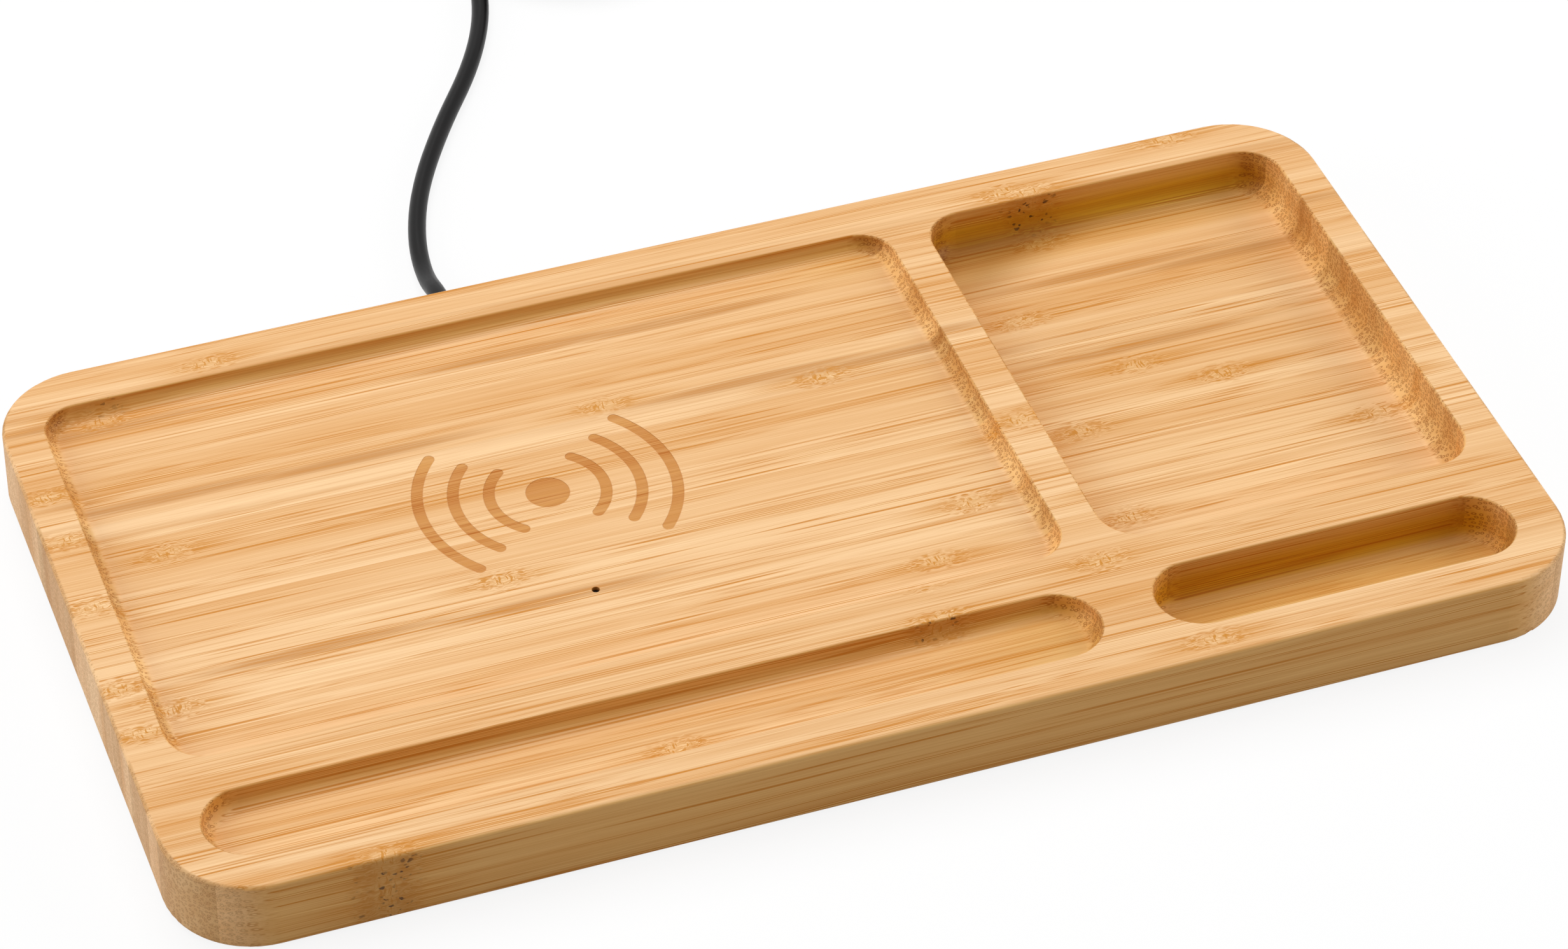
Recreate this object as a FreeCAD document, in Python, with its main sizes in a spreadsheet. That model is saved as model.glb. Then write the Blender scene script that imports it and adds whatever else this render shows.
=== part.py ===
import FreeCAD, Part
import math
import os
import Sketcher
from FreeCAD import Placement, Rotation, Vector

# Driving sizes in millimetres: name, value, meaning
SIZES = (
    # Bamboo board
    ("tray_width", 280.0, "board along X"),
    ("tray_depth", 151.5, "board along Y"),
    ("tray_height", 15.6, "board thickness"),
    ("tray_corner", 17.7, "outer corner radius"),
    ("tray_ease", 0.8, "rounding of the outer edges"),
    ("rim_ease", 0.5, "rounding of the recess rims"),
    ("side_rim", 8.5, "wood left of the charging recess and the pen groove"),
    ("middle_rim", 8.5, "wood between the charging recess and the square tray"),
    ("right_rim", 8.1, "wood right of the square tray"),
    ("back_rim", 10.5, "wood behind the recesses"),
    ("cross_rim", 10.1, "wood between the recesses and the slots"),
    ("front_rim", 8.85, "wood in front of the slots"),
    # Charging recess
    ("charge_depth", 3.5, "recess depth"),
    ("charge_corner", 7.5, "corner radius"),
    ("charge_cove", 2.7, "round between wall and floor"),
    # Square tray
    ("box_width", 77.413, "along X, the charging recess takes what is left"),
    ("box_depth", 9.6, "recess depth"),
    ("box_corner", 8.2, "corner radius"),
    ("box_cove", 3.6, "round between wall and floor"),
    # Pen groove and short slot
    ("slot_width", 17.4, "width of both round-ended slots"),
    ("groove_depth", 4.3, "pen groove depth"),
    ("slot_length", 74.313, "short slot, end to end"),
    ("slot_spacing", 11.9, "wood between the pen groove and the short slot"),
    ("slot_right_inset", 1.8, "short slot's right end from the square tray's right wall line"),
    ("slot_depth", 9.6, "short slot depth"),
    ("slot_cove", 2.8, "round between wall and floor of both slots"),
    # Burnt sign
    ("sign_back", 0.575, "sign behind the middle of the charging recess"),
    ("sign_dot", 8.7, "diameter of the dot"),
    ("sign_stroke", 2.3, "width of the arcs"),
    ("sign_inner", 11.5, "radius of the inner arcs"),
    ("sign_step", 7.0, "radius from one arc to the next"),
    ("sign_burn", 0.06, "depth of the burnt marks"),
    # Underside cavity and its cover
    ("cavity_side_room", 5.2, "from the coil holder's ears to the cavity's sides"),
    ("cavity_front_room", 2.5, "from the driver board to the cavity's front"),
    ("cavity_back_room", 13.0, "from the coil holder to the cavity's back, for the cable"),
    ("cavity_corner", 4.0, "corner radius"),
    ("charge_skin", 3.0, "wood over the coil"),
    ("coil_step", 1.3, "coil pocket over the rest of the cavity"),
    ("cover_lap", 6.0, "cover past the cavity on each side"),
    ("cover_corner", 4.5, "corner radius"),
    ("cover_thickness", 1.8, "plate thickness"),
    ("cover_inset", 0.2, "plate above the board's underside"),
    ("cover_hole_inset", 3.5, "screw centre from the plate's edge"),
    ("cover_shank", 2.2, "countersunk screw shank diameter"),
    ("cover_head", 4.4, "countersunk screw head diameter"),
    ("cover_head_height", 1.2, "countersunk screw head height"),
    ("cover_bite", 5.0, "screw thread in the wood"),
    # Rubber feet
    ("foot_diameter", 10.0, "foot diameter"),
    ("foot_stand", 0.8, "foot below the wood"),
    ("foot_seat", 1.2, "foot inside its counterbore"),
    ("foot_inset", 16.0, "foot centre from the board's sides"),
    # Fits and pan-head screws
    ("fit_play", 0.1, "clearance on each side of a seated piece"),
    ("bore_play", 0.05, "clearance on each side of a round fit"),
    ("seat_gap", 0.05, "gap under a rounded piece at its seat"),
    ("overrun", 1.0, "how far cutting tools run past a face"),
    ("screw_shank", 1.8, "pan-head screw shank diameter"),
    ("screw_head", 3.4, "pan-head screw head diameter"),
    ("screw_head_height", 1.1, "pan-head screw head height"),
    ("screw_bite", 3.0, "pan-head screw thread in the wood"),
    # Coil pack
    ("wire_diameter", 1.0, "winding wire"),
    ("wire_pitch", 1.45, "from turn to turn and layer to layer"),
    ("coil_eye", 10.4, "radius of the innermost half turn"),
    ("coil_margin", 0.4, "from the winding to the holder's rim"),
    ("pad_thickness", 0.3, "adhesive ring over the winding"),
    ("ferrite_thickness", 1.0, "shield plate"),
    ("holder_plate", 1.1, "holder floor thickness"),
    ("holder_rim", 1.2, "holder rim thickness"),
    ("ear_diameter", 7.0, "screw ears of the holder"),
    ("ear_inset", 1.0, "ear edge inside the holder's rim"),
    ("thermistor_diameter", 4.0, "temperature sensor"),
    ("thermistor_height", 1.2, "temperature sensor"),
    # Driver board
    ("board_length", 12.0, "along Y"),
    ("board_thickness", 1.0, "laminate thickness"),
    ("board_gap", 2.0, "from the coil holder to the board"),
    ("board_margin", 0.4, "from the spacers to the board's edges"),
    ("spacer_diameter", 4.2, "spacers over the board"),
    ("terminal_gap", 1.9, "from the spacers to the terminals"),
    ("lead_gap", 0.1, "winding lead over the board"),
    ("terminal_width", 2.4, "solder terminal along X"),
    ("terminal_length", 2.5, "solder terminal along Y"),
    ("terminal_inset", 0.5, "terminal from the board's back edge"),
    ("chip_side", 5.0, "controller side"),
    ("chip_height", 0.9, "controller height"),
    ("bridge_side", 3.3, "power transistor side"),
    ("bridge_height", 1.0, "power transistor height"),
    ("capacitor_length", 3.2, "capacitor along Y"),
    ("capacitor_width", 1.6, "capacitor along X"),
    ("capacitor_height", 1.6, "capacitor height"),
    ("inductor_side", 4.5, "inductor side"),
    ("inductor_height", 2.2, "inductor height"),
    # Indicator
    ("light_inset", 2.975, "pin-hole from the driver board's back edge"),
    ("guide_diameter", 1.5, "clear pin"),
    ("guide_flange_diameter", 3.6, "pin flange diameter"),
    ("guide_sink", 0.8, "pin's end below the recess floor"),
    ("led_length", 2.0, "lamp along X"),
    ("led_width", 1.25, "lamp along Y"),
    ("led_height", 0.8, "lamp height"),
    # Cable entry
    ("cable_diameter", 3.8, "round cable"),
    ("grommet_sleeve", 6.0, "grommet sleeve diameter"),
    ("grommet_length", 8.0, "grommet sleeve inside the wood"),
    ("grommet_flange", 1.5, "grommet flange thickness"),
    ("grommet_flange_diameter", 9.0, "grommet flange diameter"),
    ("clamp_length", 17.0, "cable clamp along X"),
    ("clamp_width", 4.0, "cable clamp along Y"),
    ("clamp_floor", 1.2, "clamp under the cable"),
    ("clamp_gap", 0.6, "clamp from the cavity's back wall"),
    ("clamp_sink", 0.2, "clamp screw head inside its counterbore"),
    ("cable_stub", 1.0, "cable past the clamp"),
    ("supply_wire", 1.1, "core diameter"),
    ("supply_spread", 1.4, "from core to core at the cable's end"),
    ("supply_run", 2.0, "core's straight run out of the cable"),
    ("supply_pads", 4.4, "from core to core on the board"),
    ("supply_pad", 2.4, "core length on the board"),
    # Put-away cable
    ("cable_pitch", 4.3, "from turn to turn and layer to layer"),
    ("cable_eye", 14.0, "radius of the innermost half turn"),
    ("tie_width", 8.0, "strap width"),
    ("tie_thickness", 0.7, "strap thickness"),
    ("tie_play", 0.2, "strap to the turns"),
    ("tie_corner", 1.6, "strap bend radius"),
    # Plug
    ("plug_run", 8.0, "first and last run of the lead to the plug"),
    ("plug_drop_run", 10.0, "run of that lead that comes down"),
    ("relief_length", 9.0, "plug strain relief"),
    ("relief_wide", 6.4, "relief diameter at the grip"),
    ("relief_narrow", 5.0, "relief diameter at the cable"),
    ("relief_groove", 0.9, "width of the relief's grooves"),
    ("relief_groove_depth", 0.5, "depth of the relief's grooves"),
    ("grip_length", 22.0, "plug grip along X"),
    ("grip_width", 16.0, "plug grip along Y"),
    ("grip_height", 8.0, "plug grip height"),
    ("grip_corner", 3.0, "grip corner radius"),
    ("grip_ease", 1.4, "rounding of the grip's edges"),
    ("shell_length", 18.7, "metal shell along X"),
    ("shell_width", 12.0, "metal shell along Y"),
    ("shell_height", 4.5, "metal shell height"),
    ("shell_wall", 0.3, "metal shell thickness"),
    ("shell_seat", 4.0, "metal shell inside the grip"),
    ("shell_window", 2.2, "side of the latch windows"),
    ("shell_window_reach", 3.0, "latch window from the middle line"),
    ("shell_window_inset", 6.0, "latch window from the shell's mouth"),
    ("insert_height", 1.9, "plastic tongue height"),
    ("insert_setback", 0.6, "tongue behind the shell's mouth"),
    ("contact_length", 7.0, "contact strip along X"),
    ("contact_width", 1.1, "contact strip along Y"),
    ("contact_height", 0.2, "contact strip height"),
    ("contact_step", 2.25, "from contact to contact"),
)

# Shares and counts
ARC_SHARE = 0.45
SIGN_ARCS = ((0, 98.0), (1, 85.0), (2, 83.0))
COIL_TURNS_PER_LAYER = 8
CABLE_HALF_TURNS_IN = 5
CABLE_HALF_TURNS_OUT = 6
BRIDGE_SHARES = ((-0.34, 0.12), (-0.26, 0.12), (-0.18, 0.12), (-0.10, 0.12))
CAPACITOR_SHARES = ((0.10, 0.05), (0.145, 0.05), (0.19, 0.05), (0.235, 0.05))
INDUCTOR_SHARES = (0.33, 0.08)
CHIP_SHARES = (0.0, -0.22)
RELIEF_GROOVE_SHARES = (0.25, 0.5, 0.75)

# The cable's way over the desk, from the outlet: across, back, and how far down to the desk
CABLE_ROUTE = (
    (0.0, 0.0, 0),
    (0.0, 8.4, 0),
    (0.3, 20.6, 1),
    (2.4, 34.0, 1),
    (8.2, 50.0, 1),
    (18.6, 68.5, 1),
    (30.8, 86.5, 1),
    (38.6, 103.0, 1),
    (41.9, 117.0, 1),
    (41.9, 129.0, 1),
)

# Places worked out from the sizes, as expressions
LEFT = "(-dim.tray_width / 2)"
FRONT = "(-dim.tray_depth / 2)"
BACK = "(dim.tray_depth / 2)"
RIGHT = "(dim.tray_width / 2)"
RIMS_WIDTH = "(dim.side_rim + dim.middle_rim + dim.right_rim)"
RIMS_LENGTH = "(dim.back_rim + dim.cross_rim + dim.slot_width + dim.front_rim)"
RECESS_LENGTH = f"(dim.tray_depth - {RIMS_LENGTH})"
CHARGE_WIDTH = f"(dim.tray_width - {RIMS_WIDTH} - dim.box_width)"
CHARGE_X = f"({LEFT} + dim.side_rim + {CHARGE_WIDTH} / 2)"
RECESS_Y = f"({BACK} - dim.back_rim - {RECESS_LENGTH} / 2)"
BOX_RIGHT = f"({RIGHT} - dim.right_rim)"
BOX_X = f"({BOX_RIGHT} - dim.box_width / 2)"
SLOT_RIGHT = f"({BOX_RIGHT} - dim.slot_right_inset)"
SLOT_X = f"({SLOT_RIGHT} - dim.slot_length / 2)"
SLOT_Y = f"({FRONT} + dim.front_rim + dim.slot_width / 2)"
GROOVE_LEFT = f"({LEFT} + dim.side_rim)"
GROOVE_LENGTH = f"({SLOT_RIGHT} - dim.slot_length - dim.slot_spacing - {GROOVE_LEFT})"
GROOVE_X = f"({GROOVE_LEFT} + {GROOVE_LENGTH} / 2)"
SIGN_Y = f"({RECESS_Y} + dim.sign_back)"

# Heights worked out from the sizes
WOOD_LOW = "(dim.foot_stand)"
WOOD_TOP = f"({WOOD_LOW} + dim.tray_height)"
CHARGE_FLOOR = f"({WOOD_TOP} - dim.charge_depth)"
COIL_CEILING = f"({CHARGE_FLOOR} - dim.charge_skin)"
CEILING = f"({COIL_CEILING} - dim.coil_step)"
COVER_LOW = f"({WOOD_LOW} + dim.cover_inset)"
COVER_TOP = f"({COVER_LOW} + dim.cover_thickness)"
UPPER_TURNS = f"({COIL_CEILING} - dim.pad_thickness - dim.seat_gap - dim.wire_diameter / 2)"
LOWER_TURNS = f"({UPPER_TURNS} - dim.wire_pitch)"
FERRITE_TOP = f"({LOWER_TURNS} - dim.wire_diameter / 2 - dim.seat_gap)"
HOLDER_FLOOR = f"({FERRITE_TOP} - dim.ferrite_thickness)"
HOLDER_LOW = f"({HOLDER_FLOOR} - dim.holder_plate)"
BOARD_TOP = f"({LOWER_TURNS} - dim.wire_diameter / 2 - dim.lead_gap)"
BOARD_LOW = f"({BOARD_TOP} - dim.board_thickness)"
LED_TOP = f"({BOARD_TOP} + dim.led_height)"
CABLE_Z = f"({CEILING} - dim.seat_gap - dim.cable_diameter / 2)"
CLAMP_LOW = f"({CABLE_Z} - dim.cable_diameter / 2 - dim.fit_play - dim.clamp_floor)"

# Coil pack
WINDING_RADIUS = f"(dim.coil_eye + {COIL_TURNS_PER_LAYER} * dim.wire_pitch)"
RIM_INNER = f"({WINDING_RADIUS} + dim.wire_pitch / 2 + dim.wire_diameter / 2 + dim.coil_margin)"
HOLDER_RADIUS = f"({RIM_INNER} + dim.holder_rim)"
HOLDER_FRONT = f"({SIGN_Y} - {HOLDER_RADIUS})"
HOLDER_BACK = f"({SIGN_Y} + {HOLDER_RADIUS})"
EAR_CIRCLE = f"({HOLDER_RADIUS} + dim.ear_diameter / 2 - dim.ear_inset)"
EARS = tuple(
    (f"({CHARGE_X} + {EAR_CIRCLE} * cos({angle}))", f"({SIGN_Y} + {EAR_CIRCLE} * sin({angle}))")
    for angle in (0, 45, 135, 180)
)

# Driver board in front of the coil
TERMINAL_SIDE = f"({WINDING_RADIUS} + dim.terminal_width / 2)"
BOARD_HOLE_REACH = f"({TERMINAL_SIDE} + dim.terminal_gap + dim.spacer_diameter / 2)"
BOARD_HOLE_INSET = "(dim.board_margin + dim.spacer_diameter / 2)"
BOARD_WIDTH = f"(2 * ({BOARD_HOLE_REACH} + {BOARD_HOLE_INSET}))"
BOARD_BACK = f"({HOLDER_FRONT} - dim.board_gap)"
BOARD_FRONT = f"({BOARD_BACK} - dim.board_length)"
BOARD_Y = f"({BOARD_BACK} - dim.board_length / 2)"
TERMINAL_BACK = f"({BOARD_BACK} - dim.terminal_inset)"
TERMINAL_FRONT = f"({TERMINAL_BACK} - dim.terminal_length)"
LIGHT_Y = f"({BOARD_BACK} - dim.light_inset)"

# Cavity, cover and cable entry
PACK_SIDE = f"max({EAR_CIRCLE} + dim.ear_diameter / 2; {BOARD_WIDTH} / 2)"
CAVITY_WIDTH = f"(2 * ({PACK_SIDE} + dim.cavity_side_room))"
CAVITY_FRONT = f"({BOARD_FRONT} - dim.cavity_front_room)"
CAVITY_BACK = f"({HOLDER_BACK} + dim.cavity_back_room)"
CAVITY_LENGTH = f"({CAVITY_BACK} - {CAVITY_FRONT})"
CAVITY_Y = f"({CAVITY_BACK} - {CAVITY_LENGTH} / 2)"
COVER_WIDTH = f"({CAVITY_WIDTH} + 2 * dim.cover_lap)"
COVER_LENGTH = f"({CAVITY_LENGTH} + 2 * dim.cover_lap)"
CLAMP_Y = f"({CAVITY_BACK} - dim.clamp_gap - dim.clamp_width / 2)"
CLAMP_SCREW_REACH = "((dim.cable_diameter / 2 + dim.fit_play + dim.clamp_length / 2) / 2)"
CABLE_END = f"({CLAMP_Y} - dim.clamp_width / 2 - dim.cable_stub)"
OUTLET_Y = f"({BACK} + dim.grommet_flange)"

doc = FreeCAD.newDocument("charging_station_organizer")
dim = doc.addObject("Spreadsheet::Sheet", "dim")
for row, (alias, size, meaning) in enumerate(SIZES, start=1):
    dim.set(f"A{row}", alias)
    dim.set(f"B{row}", str(size))
    dim.set(f"C{row}", meaning)
    dim.setAlias(f"B{row}", alias)
doc.recompute()

pieces = []


def value(expression):
    """The number that an expression of the sheet's sizes gives."""
    return float(dim.evalExpression(expression))


def point(x, y, z):
    """A point from three expressions."""
    return Vector(value(x), value(y), value(z))


def keep(item, label):
    """Names a finished sub-part."""
    item.Label = label
    pieces.append(item)
    return item


def bind(item, **expressions):
    """Ties an object's properties to the sheet."""
    for name, expression in expressions.items():
        item.setExpression(name, expression)
    return item


def place(item, x, y, z):
    """Ties an object's place to the sheet."""
    for axis, expression in zip("xyz", (x, y, z)):
        item.setExpression(f"Placement.Base.{axis}", expression)
    return item


def block(name, x, y, z, length, width, height):
    """A box centred on x and y, standing on z."""
    box = doc.addObject("Part::Box", name)
    bind(box, Length=length, Width=width, Height=height)
    return place(box, f"{x} - ({length}) / 2", f"{y} - ({width}) / 2", z)


def rod(name, x, y, z, diameter, height):
    """An upright cylinder standing on z."""
    cylinder = doc.addObject("Part::Cylinder", name)
    bind(cylinder, Radius=f"({diameter}) / 2", Height=height)
    return place(cylinder, x, y, z)


def lying_rod(name, x, y, z, diameter, length, direction):
    """A cylinder from a point along a horizontal direction."""
    cylinder = doc.addObject("Part::Cylinder", name)
    cylinder.Placement = Placement(Vector(), Rotation(Vector(0, 0, 1), direction))
    bind(cylinder, Radius=f"({diameter}) / 2", Height=length)
    return place(cylinder, x, y, z)


def join(name, solids):
    """One solid from touching or overlapping solids."""
    fused = doc.addObject("Part::MultiFuse", name)
    fused.Shapes = solids
    fused.Refine = True
    return fused


def group(name, solids):
    """Separate solids under one name."""
    compound = doc.addObject("Part::Compound", name)
    compound.Links = solids
    return compound


def cut(name, base, tools):
    """The base without the tools."""
    result = doc.addObject("Part::Cut", name)
    result.Base = base
    result.Tool = tools[0] if len(tools) == 1 else join(f"{name}_tools", tools)
    return result


def screw(name, x, y, seat, end):
    """A pan-head screw driven upwards, with its head under the seat."""
    shank = rod(f"{name}_shank", x, y, seat, "dim.screw_shank", f"{end} - {seat}")
    head_low = f"{seat} - dim.screw_head_height"
    head = rod(f"{name}_head", x, y, head_low, "dim.screw_head", "dim.screw_head_height")
    return join(name, [shank, head])


def clearance_hole(name, x, y, z, height):
    """A cutting tool for a pan-head screw's shank."""
    return rod(name, x, y, z, "dim.screw_shank + 2 * dim.bore_play", height)


def pilot_hole(name, x, y):
    """A cutting tool for a pan-head screw's thread, up into the wood over the cavity."""
    low = f"{CEILING} - dim.overrun"
    return clearance_hole(name, x, y, low, "dim.screw_bite + dim.overrun + dim.fit_play")


def sketch_at(body, name, x, y, z):
    """A sketch parallel to the ground with its origin at a place given by expressions."""
    ground = next(item for item in body.Origin.OriginFeatures if item.Role == "XY_Plane")
    sketch = body.newObject("Sketcher::SketchObject", name)
    sketch.AttachmentSupport = [(ground, "")]
    sketch.MapMode = "FlatFace"
    for axis, expression in zip("xyz", (x, y, z)):
        sketch.setExpression(f"AttachmentOffset.Base.{axis}", expression)
    return sketch


def constrain(sketch, name, expression, *constraint):
    """Adds a named dimension that follows the sheet."""
    index = sketch.addConstraint(Sketcher.Constraint(*constraint, value(expression)))
    sketch.renameConstraint(index, name)
    sketch.setExpression(f"Constraints.{name}", expression)


def chain(sketch, edges):
    """Adds edges that follow each other round, each tangent to the next."""
    for edge in edges:
        sketch.addGeometry(edge)
    for index in range(len(edges)):
        following = (index + 1) % len(edges)
        sketch.addConstraint(Sketcher.Constraint("Tangent", index, 2, following, 1))


def round_corner(x, y, radius, start):
    """A quarter circle about a point, from a start angle in degrees."""
    circle = Part.Circle(Vector(x, y), Vector(0, 0, 1), radius)
    return Part.ArcOfCircle(circle, math.radians(start), math.radians(start + 90))


def rounded_rectangle(sketch, width, length, corner):
    """Four sides and four equal rounds about the sketch's origin."""
    across, along, radius = value(width) / 2, value(length) / 2, value(corner)
    inner_x, inner_y = across - radius, along - radius
    chain(
        sketch,
        [
            Part.LineSegment(Vector(-inner_x, -along), Vector(inner_x, -along)),
            round_corner(inner_x, -inner_y, radius, -90),
            Part.LineSegment(Vector(across, -inner_y), Vector(across, inner_y)),
            round_corner(inner_x, inner_y, radius, 0),
            Part.LineSegment(Vector(inner_x, along), Vector(-inner_x, along)),
            round_corner(-inner_x, inner_y, radius, 90),
            Part.LineSegment(Vector(-across, inner_y), Vector(-across, -inner_y)),
            round_corner(-inner_x, -inner_y, radius, 180),
        ],
    )
    for index, way in ((0, "Horizontal"), (2, "Vertical"), (4, "Horizontal"), (6, "Vertical")):
        sketch.addConstraint(Sketcher.Constraint(way, index))
    for index in (3, 5, 7):
        sketch.addConstraint(Sketcher.Constraint("Equal", 1, index))
    sketch.addConstraint(Sketcher.Constraint("Symmetric", 3, 3, 7, 3, -1, 1))
    constrain(sketch, "corner", corner, "Radius", 1)
    constrain(sketch, "width", width, "DistanceX", 6, 1, 2, 1)
    constrain(sketch, "length", length, "DistanceY", 0, 1, 4, 1)


def stadium(sketch, length, width):
    """Two straight sides and two round ends about the sketch's origin."""
    radius = value(width) / 2
    reach = value(length) / 2 - radius
    ends = [Part.Circle(Vector(x, 0), Vector(0, 0, 1), radius) for x in (reach, -reach)]
    quarter = math.pi / 2
    chain(
        sketch,
        [
            Part.LineSegment(Vector(-reach, -radius), Vector(reach, -radius)),
            Part.ArcOfCircle(ends[0], -quarter, quarter),
            Part.LineSegment(Vector(reach, radius), Vector(-reach, radius)),
            Part.ArcOfCircle(ends[1], quarter, math.pi + quarter),
        ],
    )
    sketch.addConstraint(Sketcher.Constraint("Horizontal", 0))
    sketch.addConstraint(Sketcher.Constraint("Equal", 1, 3))
    sketch.addConstraint(Sketcher.Constraint("Symmetric", 1, 3, 3, 3, -1, 1))
    constrain(sketch, "round_end", f"({width}) / 2", "Radius", 1)
    constrain(sketch, "centres", f"{length} - ({width})", "DistanceX", 3, 3, 1, 3)


def disc(sketch, diameter):
    """One circle about the sketch's origin."""
    sketch.addGeometry(Part.Circle(Vector(), Vector(0, 0, 1), value(diameter) / 2))
    sketch.addConstraint(Sketcher.Constraint("Coincident", 0, 3, -1, 1))
    constrain(sketch, "diameter", diameter, "Diameter", 0)


def pad(body, name, sketch, height):
    """Raises a sketch to a solid."""
    feature = body.newObject("PartDesign::Pad", name)
    feature.Profile = sketch
    feature.setExpression("Length", height)
    doc.recompute()
    return feature


def pocket(body, name, sketch, depth, upward=False):
    """Sinks a sketch into the body, down or upward, and checks that wood was taken away."""
    before = body.Shape.Volume
    feature = body.newObject("PartDesign::Pocket", name)
    feature.Profile = sketch
    feature.Reversed = upward
    feature.setExpression("Length", depth)
    doc.recompute()
    if body.Shape.Volume >= before:
        raise RuntimeError(f"{name} takes nothing away")
    return feature


def level_edges(shape, height, x, y, width, length):
    """Names of the edges at a height inside a rectangle, whose sides count as inside."""
    tolerance = value("dim.bore_play")
    limits = ((value(x), value(width) / 2), (value(y), value(length) / 2))
    found = []
    for number, edge in enumerate(shape.Edges, start=1):
        box = edge.BoundBox
        level = abs(box.ZMin - value(height)) < tolerance and abs(box.ZMax - value(height)) < tolerance
        spans = ((box.XMin, box.XMax), (box.YMin, box.YMax))
        inside = all(
            low > middle - half - tolerance and high < middle + half + tolerance
            for (low, high), (middle, half) in zip(spans, limits)
        )
        if level and inside:
            found.append(f"Edge{number}")
    return found


def fillet(body, name, radius, edges):
    """Rounds edges of the body's last feature."""
    base = body.Tip
    feature = body.newObject("PartDesign::Fillet", name)
    feature.Base = (base, edges)
    feature.setExpression("Radius", radius)
    doc.recompute()
    return feature


def recess(body, name, outline, place_xy, size_xy, depth, cove):
    """A recess in the top with a rounded floor edge and an eased rim."""
    x, y = place_xy
    width, length = size_xy
    sketch = sketch_at(body, f"{name}_outline", x, y, WOOD_TOP)
    outline(sketch)
    feature = pocket(body, f"{name}_pocket", sketch, depth)
    floor = level_edges(feature.Shape, f"{WOOD_TOP} - {depth}", x, y, width, length)
    feature = fillet(body, f"{name}_cove_round", cove, floor)
    rim = level_edges(feature.Shape, WOOD_TOP, x, y, width, length)
    fillet(body, f"{name}_rim_round", "dim.rim_ease", rim)


def underside_pocket(body, name, outline, x, y, height):
    """A pocket from the board's underside up to a height."""
    sketch = sketch_at(body, f"{name}_outline", x, y, WOOD_LOW)
    outline(sketch)
    pocket(body, f"{name}_pocket", sketch, f"{height} - {WOOD_LOW}", upward=True)


def sign_arc(name, order, span, middle):
    """A cutting tool for one arc of the sign, with round ends."""
    radius = f"(dim.sign_inner + {order} * dim.sign_step)"
    low = f"{CHARGE_FLOOR} - dim.sign_burn"
    height = "dim.sign_burn + dim.overrun"
    outer = rod(f"{name}_outer", CHARGE_X, SIGN_Y, low, f"2 * {radius} + dim.sign_stroke", height)
    outer.Angle = span
    outer.Placement = Placement(outer.Placement.Base, Rotation(Vector(0, 0, 1), middle - span / 2))
    inner = rod(f"{name}_inner", CHARGE_X, SIGN_Y, low, f"2 * {radius} - dim.sign_stroke", height)
    tools = [cut(f"{name}_band", outer, [inner])]
    for end in (middle - span / 2, middle + span / 2):
        x = f"{CHARGE_X} + {radius} * cos({end})"
        y = f"{SIGN_Y} + {radius} * sin({end})"
        tools.append(rod(f"{name}_end", x, y, low, "dim.sign_stroke", height))
    return join(name, tools)


def feet_places():
    """Name and place of each foot."""
    for y_name, y_sign in (("front", -1), ("back", 1)):
        for x_name, x_sign in (("left", -1), ("right", 1)):
            x = f"{x_sign} * (dim.tray_width / 2 - dim.foot_inset)"
            y = f"{y_sign} * (dim.tray_depth / 2 - dim.foot_inset)"
            yield f"foot_{y_name}_{x_name}", x, y


def cover_screw_places():
    """Places of the cover's screws: three along each side."""
    for x_sign in (-1, 1):
        for y_sign in (-1, 0, 1):
            x = f"{CHARGE_X} + {x_sign} * ({COVER_WIDTH} / 2 - dim.cover_hole_inset)"
            y = f"{CAVITY_Y} + {y_sign} * ({COVER_LENGTH} / 2 - dim.cover_hole_inset)"
            yield x, y


def board_screw_places():
    """Places of the driver board's screws: its four corners."""
    for x_sign in (-1, 1):
        for y_sign in (-1, 1):
            x = f"{CHARGE_X} + {x_sign} * {BOARD_HOLE_REACH}"
            y = f"{BOARD_Y} + {y_sign} * (dim.board_length / 2 - {BOARD_HOLE_INSET})"
            yield x, y


def side_places(reach, y):
    """Two places at a reach left and right of the charging recess's middle line."""
    return [(f"{CHARGE_X} + {sign} * {reach}", y) for sign in (-1, 1)]


def clamp_screw_places():
    """Places of the cable clamp's screws."""
    return side_places(CLAMP_SCREW_REACH, CLAMP_Y)


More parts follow.
